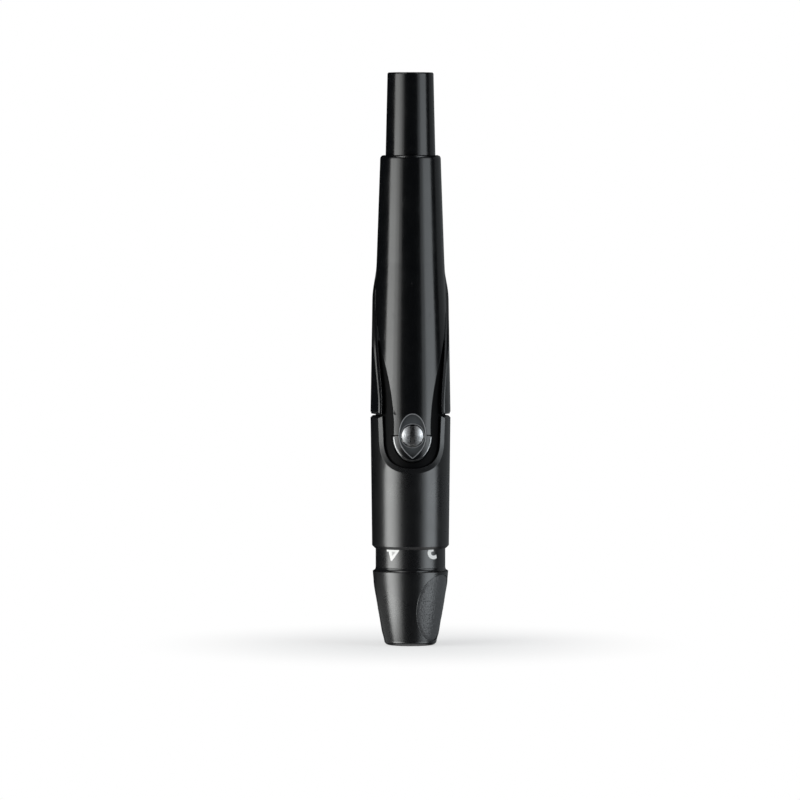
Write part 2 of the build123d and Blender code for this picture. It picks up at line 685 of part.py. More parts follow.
def make_release_lever():
    """Rocker: the button below the pivot, the sear above it."""
    head = skin_front(button_outline())
    rim = [edge for edge in head.edges().filter_by(GeomType.BSPLINE) if on_skin(edge)]
    head = chamfer([edge for edge in rim if (edge @ 0.5).Z < z_window], BUTTON_BEVEL)
    plug = front_sketch(Pos(0, z_window) * Circle(WINDOW_RADIUS), eye_floor - 0.05, tongue_radius + 1)
    head -= front_sketch(eye(), eye_floor, tongue_radius + 1) + plug
    rim = [edge for edge in head.edges().filter_by(GeomType.BSPLINE) if on_skin(edge)]
    head = chamfer([edge for edge in rim if abs((edge @ 0.5).X) > 1], EYE_BEVEL)
    head -= front_sketch(Pos(0, z_window) * Circle(WINDOW_RADIUS - 0.4), 0, tongue_radius)
    arm_front = sqrt((housing_bore - RUN_FIT) ** 2 - LEVER_HALF_WIDTH**2)
    sear_low, sear_top = z_flange + 0.2, z_flange + DRUM_FLANGE_HEIGHT - 0.2
    z_eye_top = z_window + EYE_UP
    profile = Polyline(
        (-arm_front, z_eye_top - 1.4),
        (-arm_front, z_pivot + 0.6),
        (-pivot_depth - 0.1, z_pivot + 2.4),
        (-pivot_depth - 0.1, sear_top),
        (-sear_depth, sear_top),
        (-sear_depth, sear_low),
        (-pocket_floor - 0.15, sear_low - 0.8),
        (-pocket_floor - 0.15, z_pivot + 0.5),
        (-pocket_floor - 0.6, z_eye_top - 0.2),
        (-arm_front + 0.3, z_eye_top - 1.3),
        (-arm_front + 0.3, z_window + 2.2),
        (-eye_floor + 0.05, z_window + 2.2),
        (-eye_floor + 0.05, z_eye_top - 1.4),
        close=True,
    )
    side = Plane(origin=(0, 0, 0), x_dir=(0, 1, 0), z_dir=(1, 0, 0))
    arm = extrude(side * make_face(profile), LEVER_HALF_WIDTH, both=True)
    lever = head + (arm - front_sketch(Pos(0, z_window) * Circle(WINDOW_RADIUS), 0, eye_floor + 1))
    # Narrow waist at the pivot, where the lever's spring sits on one side
    lever -= block((1.0, 3), (-chassis_radius - 1, 0), (z_pivot - 1.3, z_pivot + 2.6))
    hole = Rot(0, 90, 0) * Cylinder(PIVOT_RADIUS + SLIDE_FIT, 8)
    lever -= Pos(0, -pivot_depth, z_pivot) * hole
    return lever & block((-9, 9), (-tongue_radius - 1, -sear_depth), (0, sear_top + 1))


def on_skin(edge):
    """Whether an edge lies on the tongue's surface."""
    return all(hypot((edge @ t).X, (edge @ t).Y) > tongue_radius - 0.01 for t in (0, 0.3, 0.5, 1))


def skin_front(face):
    """What lies between the button's back and the tongue's surface, inside a face."""
    shell = rod(tongue_radius, z_window - 8, z_window + 8)
    return shell & front_sketch(face, button_back, tongue_radius + 1)


def make_window_lens():
    """Clear dome in the button, over the hole that shows the indicator."""
    seat = eye_floor - 0.05
    sphere = (WINDOW_RADIUS**2 + WINDOW_RISE**2) / (2 * WINDOW_RISE)
    centre = seat + WINDOW_RISE - sphere
    dome = Pos(0, -centre, z_window) * Sphere(sphere)
    dome &= front_sketch(Pos(0, z_window) * Circle(WINDOW_RADIUS), seat, seat + 2)
    stub = front_sketch(Pos(0, z_window) * Circle(WINDOW_RADIUS - 0.4), button_back + 0.1, seat + 0.01)
    return dome + stub


def make_lever_pin():
    """Steel pivot of the release lever."""
    pin = Rot(0, 90, 0) * Cylinder(PIVOT_RADIUS, 2 * pin_reach)
    return Pos(0, -pivot_depth, z_pivot) * pin


def make_lever_spring():
    """Torsion spring beside the lever that lifts the button again."""
    wire = 0.12
    radius = PIVOT_RADIUS + SLIDE_FIT + wire + 0.05
    turns = Pos(1.1, 0, 0) * Rot(0, 90, 0) * coil(radius, wire, 0, 0.9, 3)
    leg_length = 2.2
    legs = Pos(1.9, radius, -leg_length / 2) * Cylinder(wire, leg_length)
    legs += Pos(1.22, radius, leg_length / 2) * Cylinder(wire, leg_length)
    return Pos(0, -pivot_depth, z_pivot) * (turns + legs)


def make_indicator_flag():
    """Yellow flag that slides up behind the window when the spring is wound."""
    depth = (-indicator_front, -indicator_back)
    low, high = z_pocket_low + 0.3, z_window - WINDOW_RADIUS + 0.4
    # The lower corners are cut off to stay behind the button's bowl
    half, cut = INDICATOR_HALF_WIDTH, INDICATOR_HALF_WIDTH * 0.5
    outline = Polyline(
        (-half, high), (-half, low + cut), (-cut, low), (cut, low), (half, low + cut), (half, high), close=True
    )
    flag = front_sketch(make_face(outline), indicator_back, indicator_front)
    rail_top = z_flange - INDICATOR_TRAVEL - 0.4
    return flag + block((-INDICATOR_HALF_WIDTH, -LEVER_HALF_WIDTH - 0.2), depth, (low, rail_top))


def nose_radius(z):
    """Outer radius of the nose at a height: a shallow arc over the chord."""
    share = (z - NOSE_ROUND) / (NOSE_HEIGHT - NOSE_ROUND)
    chord = NOSE_TIP_RADIUS + (nose_top_radius - NOSE_TIP_RADIUS) * share
    return chord + 4 * NOSE_BULGE * share * (1 - share)


def nose_skin(inset):
    """The nose's outside as a solid, set in by a distance."""
    middle = (NOSE_ROUND + NOSE_HEIGHT) / 2
    tip, top = nose_radius(NOSE_ROUND) - inset, nose_top_radius - inset
    corner = NOSE_ROUND * 0.29
    return turned(
        Line((0, 0), (tip - NOSE_ROUND, 0)),
        ThreePointArc((tip - NOSE_ROUND, 0), (tip - corner, corner), (tip, NOSE_ROUND)),
        ThreePointArc((tip, NOSE_ROUND), (nose_radius(middle) - inset, middle), (top, NOSE_HEIGHT)),
        Line((top, NOSE_HEIGHT), (0, NOSE_HEIGHT)),
        Line((0, NOSE_HEIGHT), (0, 0)),
    )


def grip_outline(distance):
    """The oval outline of a thumb patch, for ray_cutter."""
    wide = ray(GRIP_HALF_ANGLE, nose_radius(NOSE_HEIGHT / 2), distance)
    return Pos(0, NOSE_HEIGHT / 2 + 0.2) * Ellipse(wide, GRIP_HALF_HEIGHT)


def make_nose_cap():
    """Outer cap with the needle's aperture, two thumb patches and the click notches."""
    nose = nose_skin(0)
    patch = ray_cutter(grip_outline) - nose_skin(GRIP_DEPTH)
    for turn in (GRIP_ANGLE, GRIP_ANGLE + 180):
        nose -= Rot(0, 0, turn) * patch
    z_ledge = NOSE_HEIGHT - SPIGOT_HEIGHT - CLICK_RING_HEIGHT - END_PLAY
    click_bore = core_radius + SLIDE_FIT + CLICK_RING_WALL + LOOSE_FIT
    low_bore = nose_radius(NOSE_FLOOR) - NOSE_WALL
    # The cavity keeps clear of the core when the dial is screwed right up
    wide, z_wide = core_radius + LOOSE_FIT, z_core_low - STEP_DEPTH * STEPS_UP - 0.3
    nose -= turned_polygon(
        (0, NOSE_FLOOR), (low_bore, NOSE_FLOOR), (wide, z_wide), (wide, z_ledge), (0, z_ledge)
    )
    nose -= rod(click_bore, z_ledge - 0.01, NOSE_HEIGHT + 1)
    nose -= rod(click_bore + 0.4, NOSE_HEIGHT - SPIGOT_HEIGHT, NOSE_HEIGHT + 1)
    for step in range(-STEPS_UP, STEPS_DOWN + 1):
        notch = Pos(click_bore, 0, z_ledge) * Cylinder(0.3, CLICK_RING_HEIGHT, align=BOTTOM)
        nose -= Rot(0, 0, STEP_ANGLE * step - 90) * notch
    return nose - rod(APERTURE_RADIUS, -1, NOSE_FLOOR + 1)


def make_scale_ring():
    """Ring that carries the depth numbers; it is pressed into the nose."""
    spigot = core_radius + SLIDE_FIT + CLICK_RING_WALL + LOOSE_FIT + 0.4
    low, high = NOSE_HEIGHT - SPIGOT_HEIGHT, z_mouth + RING_TUCK
    scale = turned_polygon(
        (0, low),
        (spigot, low),
        (spigot, NOSE_HEIGHT),
        (band_radius - 0.2, NOSE_HEIGHT),
        (band_radius - 0.2, NOSE_HEIGHT + 0.25),
        (band_radius, NOSE_HEIGHT + 0.45),
        (band_radius, high - 0.3),
        (band_radius - 0.3, high),
        (0, high),
    )
    scale -= rod(ring_bore, low - 1, high + 1)
    first = -(STEP_DEPTH * STEPS_UP + 0.3) / thread_pitch
    last = THREAD_TURNS + (STEP_DEPTH * STEPS_DOWN + 0.3) / thread_pitch
    outer = core_radius + THREAD_DEPTH + 2 * SLIDE_FIT
    return scale - screw_rib(ring_bore - 0.2, outer, THREAD_WIDTH + 4 * SLIDE_FIT, first, last)


def make_cap_core():
    """Inner sleeve of the cap: plugs into the chassis and carries the dial's thread."""
    core = ring(core_radius, core_bore, z_core_low, z_core_top)
    core += screw_rib(core_radius - 0.2, core_radius + THREAD_DEPTH, THREAD_WIDTH, 0, THREAD_TURNS)
    # Notches that let the ejector's crossbar come down
    half = crossbar_radius + LOOSE_FIT
    low = z_crossbar - EJECT_STROKE - half
    core -= block((-core_radius - 1, core_radius + 1), (-half, half), (low, z_core_top + 1))
    # Keyways that hold the click ring from turning
    for side in (1, -1):
        core -= keyway(side, z_core_low - 1, z_nose_top - 1.0, KEY_HALF_WIDTH + SLIDE_FIT)
    return core


KEY_HALF_WIDTH = 0.8


def keyway(side, low, high, half):
    """A key on the core's front or back, or the way that takes it."""
    reach = (core_radius - CORE_WALL * 0.5, core_radius + CLICK_RING_WALL * 0.5)
    depth = tuple(sorted(side * v for v in reach))
    return block((-half, half), depth, (low, high))


def make_click_ring():
    """Spring ring keyed to the core: its nib clicks in the nose's notches."""
    bore = core_radius + SLIDE_FIT
    outer = bore + CLICK_RING_WALL
    low = NOSE_HEIGHT - SPIGOT_HEIGHT - CLICK_RING_HEIGHT - END_PLAY / 2
    high = low + CLICK_RING_HEIGHT
    click = ring(outer, bore, low, high)
    for side in (1, -1):
        click += keyway(side, low, high, KEY_HALF_WIDTH)
    nib = Pos(0, -outer + 0.1, low + CLICK_RING_HEIGHT / 2) * Sphere(0.17)
    return click + nib


def make_holder_spring():
    """Spring that keeps the holder drawn back."""
    middle = (stem_radius + chassis_bore) / 2
    return coil(middle, 0.2, z_web_top, z_cage_low, 5)


def make_drive_spring():
    """Torsion spring between the drum's hub and the winder."""
    return coil(
        WINDER_BORE + DRIVE_SPRING_WIRE + 0.35, DRIVE_SPRING_WIRE, z_spring_low, z_winder_low, 8
    )


def make_return_spring():
    """Spring that pushes the plunger out again."""
    return coil(return_spring_radius, RETURN_SPRING_WIRE, z_plate_top, z_plunger_roof, 15)


PARTS = {
    "rear_housing": make_rear_housing,
    "ejector_sleeve": make_ejector_sleeve,
    "ejector_crossbar": make_ejector_crossbar,
    "front_chassis": make_front_chassis,
    "rear_chassis": make_rear_chassis,
    "end_plate": make_end_plate,
    "lancet_holder": make_lancet_holder,
    "follower_pin": make_follower_pin,
    "holder_spring": make_holder_spring,
    "drive_drum": make_drive_drum,
    "spring_hub": make_spring_hub,
    "drive_spring": make_drive_spring,
    "winder": make_winder,
    "winding_spindle": make_winding_spindle,
    "plunger": make_plunger,
    "return_spring": make_return_spring,
    "release_lever": make_release_lever,
    "window_lens": make_window_lens,
    "lever_pin": make_lever_pin,
    "lever_spring": make_lever_spring,
    "indicator_flag": make_indicator_flag,
    "nose_cap": make_nose_cap,
    "scale_ring": make_scale_ring,
    "cap_core": make_cap_core,
    "click_ring": make_click_ring,
}

os.makedirs("parts", exist_ok=True)
for name, make in PARTS.items():
    export_step(make(), f"parts/{name}.step")
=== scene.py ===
"""Dresses the pen lancing device: its black plastics, dial numbers, thumb patches,
viewing dome and inner works, and the plain studio that it stands in."""

import logging
import math
from collections.abc import Callable
from dataclasses import dataclass
from enum import Enum

import bmesh
import bpy
from mathutils import Matrix, Vector, noise


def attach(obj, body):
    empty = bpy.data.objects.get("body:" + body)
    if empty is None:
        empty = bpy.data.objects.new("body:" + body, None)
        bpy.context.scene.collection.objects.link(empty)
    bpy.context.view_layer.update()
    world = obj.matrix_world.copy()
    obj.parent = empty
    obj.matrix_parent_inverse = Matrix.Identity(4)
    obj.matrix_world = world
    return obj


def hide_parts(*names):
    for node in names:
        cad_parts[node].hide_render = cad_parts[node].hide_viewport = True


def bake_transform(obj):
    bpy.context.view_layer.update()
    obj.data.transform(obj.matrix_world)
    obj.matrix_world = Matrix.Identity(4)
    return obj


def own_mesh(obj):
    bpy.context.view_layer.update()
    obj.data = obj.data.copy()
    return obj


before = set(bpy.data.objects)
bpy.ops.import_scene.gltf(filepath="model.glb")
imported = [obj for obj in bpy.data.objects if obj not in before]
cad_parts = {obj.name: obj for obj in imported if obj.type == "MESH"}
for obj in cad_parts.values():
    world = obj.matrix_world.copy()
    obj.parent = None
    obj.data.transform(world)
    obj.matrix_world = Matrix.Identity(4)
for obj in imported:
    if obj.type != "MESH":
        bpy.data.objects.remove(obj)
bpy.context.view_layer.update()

MM = 0.001
WHITE = (1.0, 1.0, 1.0, 1.0)
Colour = tuple[float, float, float]
Row = tuple[float, float, float]
Socket = bpy.types.NodeSocket
Material = bpy.types.Material
Mesh = bpy.types.Mesh
Shape = bmesh.types.BMesh
log = logging.getLogger("lancing_device")


class Side(Enum):
    """Left or right of the middle plane, seen from the front."""

    LEFT = -1
    RIGHT = 1


TINTS = {Side.LEFT: (0.985, 1.0, 0.985), Side.RIGHT: (0.9, 0.96, 1.0)}
LEFT_ROWS = (
    *((-0.33, 0.03, 1.0), (0.03, 0.115, 0.66), (0.115, 0.14, 0.52)),
    *((0.14, 0.16, 0.42), (0.16, 0.4, 0.32)),
)
RIGHT_ROWS = ((-0.33, 0.03, 1.0), (0.03, 0.13, 0.73), (0.13, 0.155, 0.56), (0.155, 0.4, 0.45))
HIGH_ROWS = ((1.05, 1.8, 1.0),)


class Nodes:
    """A node tree under construction."""

    def __init__(self, tree: bpy.types.NodeTree) -> None:
        """Takes the tree that the nodes go into."""
        self.tree = tree

    def feed(self, target: Socket, value: object) -> None:
        """Gives an input its value.

        Args:
            target: The input.
            value: A socket to link to it, or a plain value.
        """
        if isinstance(value, Socket):
            self.tree.links.new(value, target)
        else:
            target.default_value = value

    def add(
        self, kind: str, inputs: dict[str | int, object] | None = None, **settings: object
    ) -> bpy.types.Node:
        """Adds a shader node.

        Args:
            kind: The node's type, without ShaderNode.
            inputs: A socket or a plain value for each input, by name or place.
            settings: Properties to set on it.

        Returns:
            The new node.
        """
        node = self.tree.nodes.new(f"ShaderNode{kind}")
        for key, value in settings.items():
            setattr(node, key, value)
        for key, value in (inputs or {}).items():
            self.feed(node.inputs[key], value)
        return node

    def math(self, operation: str, *terms: object, clamp: bool = False) -> Socket:
        """Does a sum on numbers or sockets, held between 0 and 1 if clamped."""
        inputs = dict(enumerate(terms))
        return self.add("Math", inputs, operation=operation, use_clamp=clamp).outputs[0]

    def where(self) -> Socket:
        """Gives the place on the object."""
        return self.add("TexCoord").outputs["Object"]


class Effect(Nodes):
    """A shader node group that is built once and placed in each material."""

    def __init__(self, name: str, inputs: dict[str, float], outputs: dict[str, str]) -> None:
        """Makes the group with its sockets.

        Args:
            name: Name of the group.
            inputs: Name and starting value of each number that it takes.
            outputs: Name and kind of each value that it gives, such as Float.
        """
        super().__init__(bpy.data.node_groups.new(name, "ShaderNodeTree"))
        sockets = self.tree.interface
        for label, value in inputs.items():
            socket = sockets.new_socket(label, in_out="INPUT", socket_type="NodeSocketFloat")
            socket.default_value = value
        for label, kind in outputs.items():
            sockets.new_socket(label, in_out="OUTPUT", socket_type=f"NodeSocket{kind}")
        self.entry = self.tree.nodes.new("NodeGroupInput")
        self.exit = self.tree.nodes.new("NodeGroupOutput")

    def taken(self, label: str) -> Socket:
        """Gives the socket of a number that the group takes."""
        return self.entry.outputs[label]

    def give(self, **values: Socket) -> None:
        """Feeds the group's outputs, by name."""
        for label, value in values.items():
            self.feed(self.exit.inputs[label], value)


@dataclass(frozen=True)
class MouldGrain:
    """Fine spark-eroded grain of a mould: a height and a speckle."""

    detail: float = 3.0
    harshness: float = 0.62
    pit_scale: float = 0.8
    pit_share: float = 0.4
    speckle_power: float = 2.0

    def make(self) -> Effect:
        """Builds the effect, with its size in millimetres."""
        effect = Effect("mould_grain", {"Grain": 0.2}, {"Height": "Float", "Speckle": "Float"})
        place = effect.where()
        scale = effect.math("DIVIDE", 1 / MM, effect.taken("Grain"))
        look = {"Vector": place, "Scale": scale, "Detail": self.detail, "Roughness": self.harshness}
        fine = effect.math("MULTIPLY", effect.add("TexNoise", look).outputs[0], 1 - self.pit_share)
        pit_scale = effect.math("MULTIPLY", scale, self.pit_scale)
        pits = effect.add("TexVoronoi", {"Vector": place, "Scale": pit_scale}, feature="F1")
        dome = effect.math("SUBTRACT", 1.0, pits.outputs["Distance"], clamp=True)
        effect.give(
            Height=effect.math("ADD", fine, effect.math("MULTIPLY", dome, self.pit_share)),
            Speckle=effect.math("POWER", dome, self.speckle_power),
        )
        return effect


@dataclass(frozen=True)
class Handling:
    """What handling leaves on plastic: hairline scratches, smudges and dust.

    Each set of scratches is (turn in radians, scale).
    """

    scratch_sets: tuple[tuple[float, float], ...] = ((0.4, 210.0), (-0.9, 160.0))
    scratch_lean: tuple[float, float] = (0.6, 1.7)
    scratch_stretch: float = 0.12
    scratch_cells: float = 3.0
    scratch_width: float = 0.006
    scratch_gaps: float = 0.68
    smear_scale: float = 140.0
    smear_detail: float = 4.0
    smear_swirl: float = 0.8
    smear_middle: float = 0.45
    dust_scale: float = 900.0
    dust_size: float = 0.055
    dust_gaps: float = 0.93

    def make(self) -> Effect:
        """Builds the effect, with the amounts of each."""
        effect = Effect(
            "handling",
            {"Scratches": 0.5, "Smudges": 0.5, "Dust": 0.3},
            {"Roughness": "Float", "Dust": "Float", "Height": "Float"},
        )
        place = effect.where()
        lines = [self.hairlines(effect, place, *one) for one in self.scratch_sets]
        scratches = effect.math("MAXIMUM", *lines)
        look = {"Vector": place, "Scale": self.smear_scale, "Detail": self.smear_detail}
        smear = effect.add("TexNoise", look | {"Distortion": self.smear_swirl}).outputs[0]
        smear = effect.math("SUBTRACT", smear, self.smear_middle)
        smudge = effect.math("MULTIPLY", smear, effect.taken("Smudges"))
        scratch = effect.math("MULTIPLY", scratches, effect.taken("Scratches"))
        specks = effect.add("TexVoronoi", {"Vector": place, "Scale": self.dust_scale}, feature="F1")
        dot = effect.math("LESS_THAN", specks.outputs["Distance"], self.dust_size)
        spot = {"Vector": specks.outputs["Position"]}
        few = effect.add("TexWhiteNoise", spot, noise_dimensions="3D").outputs["Value"]
        chosen = effect.math("MULTIPLY", dot, effect.math("GREATER_THAN", few, self.dust_gaps))
        effect.give(
            Roughness=effect.math("ADD", smudge, scratch),
            Dust=effect.math("MULTIPLY", chosen, effect.taken("Dust")),
            Height=effect.math("MULTIPLY", scratches, -1.0),
        )
        return effect

    def hairlines(self, effect: Effect, place: Socket, turn: float, scale: float) -> Socket:
        """Makes one set of fine scratches.

        Args:
            effect: The effect under construction.
            place: The place on the object.
            turn: Which way the scratches run, in radians.
            scale: How closely they lie.

        Returns:
            The socket of their mask.
        """
        turns = (turn, turn * self.scratch_lean[0], turn * self.scratch_lean[1])
        stretch = (1.0, 1.0, self.scratch_stretch)
        mapping = effect.add("Mapping", {"Vector": place, "Rotation": turns, "Scale": stretch})
        look = {"Vector": mapping.outputs[0], "Scale": scale * self.scratch_cells}
        cells = effect.add("TexVoronoi", look, feature="DISTANCE_TO_EDGE")
        hair = effect.math("LESS_THAN", cells.outputs["Distance"], self.scratch_width)
        patch = effect.add("TexNoise", {"Vector": place, "Scale": scale, "Detail": 1.0})
        some = effect.math("GREATER_THAN", patch.outputs[0], self.scratch_gaps)
        return effect.math("MULTIPLY", hair, some)


@dataclass(frozen=True)
class EdgeWear:
    """Edges rounded in shading, and where they are polished by handling."""

    samples: int = 6
    patch_scale: float = 500.0
    gain: float = 6.0

    def make(self) -> Effect:
        """Builds the effect, with the rounding in millimetres."""
        effect = Effect("edge_wear", {"Rounding": 0.15}, {"Normal": "Vector", "Worn": "Float"})
        radius = effect.math("MULTIPLY", effect.taken("Rounding"), MM)
        round_normal = effect.add("Bevel", {"Radius": radius}, samples=self.samples).outputs[0]
        flat_normal = effect.add("NewGeometry").outputs["Normal"]
        both = {0: round_normal, 1: flat_normal}
        dot = effect.add("VectorMath", both, operation="DOT_PRODUCT").outputs["Value"]
        bent = effect.math("SUBTRACT", 1.0, dot, clamp=True)
        bent = effect.math("MULTIPLY", bent, self.gain, clamp=True)
        look = {"Vector": effect.where(), "Scale": self.patch_scale}
        worn = effect.math("MULTIPLY", bent, effect.add("TexNoise", look).outputs[0])
        effect.give(Normal=round_normal, Worn=worn)
        return effect


GRAIN, HANDLING, EDGE = MouldGrain().make(), Handling().make(), EdgeWear().make()


class Paint(Nodes):
    """A material under construction: its shader and the nodes that feed it."""

    def __init__(self, name: str, **values: object) -> None:
        """Makes a material with a bare Principled shader.

        Args:
            name: Name of the material.
            values: Plain values for the shader, with _ for a space.
        """
        self.material = bpy.data.materials.new(name)
        self.material.use_nodes = True
        super().__init__(self.material.node_tree)
        self.tree.nodes.clear()
        plain = {key.replace("_", " "): value for key, value in values.items()}
        self.shader = self.add("BsdfPrincipled", plain)
        self.output = self.add("OutputMaterial", {"Surface": self.shader.outputs[0]})

    def place(self, effect: Effect, **amounts: float) -> bpy.types.Node:
        """Places an effect with its own amounts and returns the group's node."""
        return self.add("Group", amounts, node_tree=effect.tree)

    def mix(self, share: object, first: object, second: object) -> Socket:
        """Mixes two colours, plain or from sockets, by the share of the second."""
        first, second = ((*c, 1.0) if isinstance(c, tuple) else c for c in (first, second))
        return self.add("Mix", {0: share, 6: first, 7: second}, data_type="RGBA").outputs[2]

    def ease(self, value: Socket, low: float, high: float, least: float = 0.0) -> Socket:
        """Eases from a least value to 1 while a value rises from low to high."""
        inputs = {"Value": value, "From Min": low, "From Max": high, "To Min": least}
        return self.add("MapRange", inputs, interpolation_type="SMOOTHSTEP").outputs["Result"]

    def bump(self, height: Socket, depth: float, normal: Socket | None = None) -> Socket:
        """Turns a height into a normal.

        Args:
            height: The height's socket.
            depth: What a height of 1 stands for, in millimetres.
            normal: Normal to start from.

        Returns:
            The normal's socket.
        """
        inputs = {"Distance": depth * MM, "Height": height}
        if normal is not None:
            inputs["Normal"] = normal
        return self.add("Bump", inputs).outputs[0]

    def finish(self, colour: Socket, rough: Socket, least: float, normal: Socket) -> Material:
        """Feeds the shader.

        Args:
            colour: The base colour.
            rough: The roughness, before it is held at a least value.
            least: The least roughness.
            normal: The surface's normal.

        Returns:
            The finished material.
        """
        self.feed(self.shader.inputs["Base Color"], colour)
        self.feed(self.shader.inputs["Roughness"], self.math("MAXIMUM", rough, least))
        self.feed(self.shader.inputs["Normal"], normal)
        return self.material


def shade(colour: Colour, share: float) -> Colour:
    """Makes a colour lighter or darker by a share, and no lighter than white."""
    return tuple(min(1.0, c * share) for c in colour)


@dataclass(frozen=True)
class MouldedPlastic:
    """Injection-moulded plastic, from high gloss to a fine satin grain.

    A panel is a part of another colour, near the middle plane and behind the skin.
    """

    name: str
    colour: Colour
    roughness: float
    grain: float = 0.2
    grain_depth: float = 0.004
    smudges: float = 0.14
    scratches: float = 0.06
    scratch_depth: float = 0.002
    dust: float = 0.14
    dust_colour: Colour = (0.3, 0.3, 0.3)
    rounding: float = 0.12
    worn_share: float = 0.25
    worn_colour: Colour = (0.06, 0.06, 0.06)
    ior: float = 1.55
    mottle: float = 0.25
    mottle_roughness: float = 0.15
    least_roughness: float = 0.05
    specular: float = 0.5
    panel: Colour | None = None
    panel_half_width: float = 2.77
    panel_depth: float = -7.56
    worn_by: tuple[str, ...] = ()

    def make(self) -> Material:
        """Builds the material."""
        paint = Paint(self.name, IOR=self.ior, Specular_IOR_Level=self.specular)
        grain = paint.place(GRAIN, Grain=self.grain).outputs
        amounts = {"Scratches": self.scratches, "Smudges": self.smudges, "Dust": self.dust}
        handling = paint.place(HANDLING, **amounts).outputs
        edge = paint.place(EDGE, Rounding=self.rounding).outputs
        base = paint.mix(grain["Speckle"], self.colour, shade(self.colour, 1 + self.mottle))
        if self.panel is not None:
            base = paint.mix(self.inside_panel(paint), base, self.panel)
        share = paint.math("MULTIPLY", edge["Worn"], self.worn_share)
        worn = paint.mix(share, base, self.worn_colour)
        coat = paint.mix(handling["Dust"], worn, self.dust_colour)
        rough = paint.math("ADD", handling["Roughness"], self.roughness)
        uneven = self.roughness * self.mottle_roughness
        rough = paint.math("ADD", rough, paint.math("MULTIPLY", grain["Speckle"], uneven))
        skin = paint.bump(grain["Height"], self.grain_depth, edge["Normal"])
        skin = paint.bump(handling["Height"], self.scratch_depth, skin)
        return paint.finish(coat, rough, self.least_roughness, skin)

    def inside_panel(self, paint: Paint) -> Socket:
        """Makes the mask of the panel in a material under construction."""
        place = paint.add("SeparateXYZ", {0: paint.where()}).outputs
        aside = paint.math("ABSOLUTE", place["X"])
        narrow = paint.math("LESS_THAN", aside, self.panel_half_width * MM)
        sunk = paint.math("GREATER_THAN", place["Y"], self.panel_depth * MM)
        return paint.math("MULTIPLY", narrow, sunk)


@dataclass(frozen=True)
class Steel:
    """Drawn spring wire, turned steel pins and silvering.

    Given a reach for it, a painted dark reflection dims it near the middle plane, and it is bright
    beyond that reach.
    """

    name: str
    colour: Colour = (0.58, 0.58, 0.6)
    roughness: float = 0.28
    draw_scale: float = 900.0
    draw_stretch: float = 6.0
    draw_detail: float = 3.0
    draw_depth: float = 0.003
    draw_roughness: float = 0.18
    draw_shade: float = 0.72
    least_roughness: float = 0.06
    painted_dark_reach: float = 0.0
    painted_dark_core: float = 0.3
    painted_dark_share: float = 0.16
    worn_by: tuple[str, ...] = ()

    def make(self) -> Material:
        """Builds the material."""
        paint = Paint(self.name, Metallic=1.0)
        place = paint.where()
        stretch = (1.0, 1.0, self.draw_stretch)
        drawn = paint.add("Mapping", {"Vector": place, "Scale": stretch}).outputs[0]
        look = {"Vector": drawn, "Scale": self.draw_scale, "Detail": self.draw_detail}
        lines = paint.add("TexNoise", look).outputs[0]
        handling = paint.place(HANDLING, Scratches=0.1, Smudges=0.3).outputs
        coat = paint.mix(lines, shade(self.colour, self.draw_shade), self.colour)
        # Painted dark reflection: near the middle plane the silver is dimmed, as if it mirrored the
        # dark front.
        if self.painted_dark_reach:
            share = self.beyond_painted_dark(paint, place)
            coat = paint.mix(share, shade(self.colour, self.painted_dark_share), coat)
        middle = self.roughness - self.draw_roughness / 2
        rough = paint.math("ADD", paint.math("MULTIPLY", lines, self.draw_roughness), middle)
        rough = paint.math("ADD", rough, handling["Roughness"])
        skin = paint.bump(lines, self.draw_depth)
        return paint.finish(coat, rough, self.least_roughness, skin)

    def beyond_painted_dark(self, paint: Paint, place: Socket) -> Socket:
        """Makes a mask that rises away from the middle plane, out of the painted dark reflection.
        """
        aside = paint.math("ABSOLUTE", paint.add("SeparateXYZ", {0: place}).outputs["X"])
        return paint.ease(aside, self.painted_dark_core * MM, self.painted_dark_reach * MM)


@dataclass(frozen=True)
class ClearPlastic:
    """Polished clear plastic of the window's dome."""

    name: str
    tint: Colour = (0.95, 0.96, 0.97)
    dust_colour: Colour = (0.6, 0.6, 0.6)
    roughness: float = 0.03
    least_roughness: float = 0.02
    ior: float = 1.49
    wave: float = 1.2
    wave_depth: float = 0.002

    def make(self) -> Material:
        """Builds the material."""
        paint = Paint(self.name, Transmission_Weight=1.0, IOR=self.ior)
        amounts = {"Scratches": 0.15, "Smudges": 0.1, "Dust": 0.3}
        handling = paint.place(HANDLING, **amounts).outputs
        grain = paint.place(GRAIN, Grain=self.wave).outputs
        coat = paint.mix(handling["Dust"], self.tint, self.dust_colour)
        rough = paint.math("ADD", handling["Roughness"], self.roughness)
        skin = paint.bump(grain["Height"], self.wave_depth)
        return paint.finish(coat, rough, self.least_roughness, skin)


@dataclass(frozen=True)
class PadInk:
    """White ink of the dial's numbers, printed with a soft pad."""

    name: str
    colour: Colour = (0.8, 0.8, 0.785)
    thin_share: float = 0.82
    roughness: float = 0.42
    least_roughness: float = 0.1
    ior: float = 1.5
    grain: float = 0.12
    grain_depth: float = 0.006

    def make(self) -> Material:
        """Builds the material."""
        paint = Paint(self.name, IOR=self.ior)
        grain = paint.place(GRAIN, Grain=self.grain).outputs
        handling = paint.place(HANDLING, Scratches=0.3, Smudges=0.3).outputs
        coat = paint.mix(grain["Speckle"], shade(self.colour, self.thin_share), self.colour)
        rough = paint.math("ADD", handling["Roughness"], self.roughness)
        skin = paint.bump(grain["Height"], self.grain_depth)
        return paint.finish(coat, rough, self.least_roughness, skin)


def in_scene(name: str, data: bpy.types.ID) -> bpy.types.Object:
    """Makes an object of a mesh, a lamp or a camera and links it to the scene."""
    thing = bpy.data.objects.new(name, data)
    bpy.context.scene.collection.objects.link(thing)
    return thing


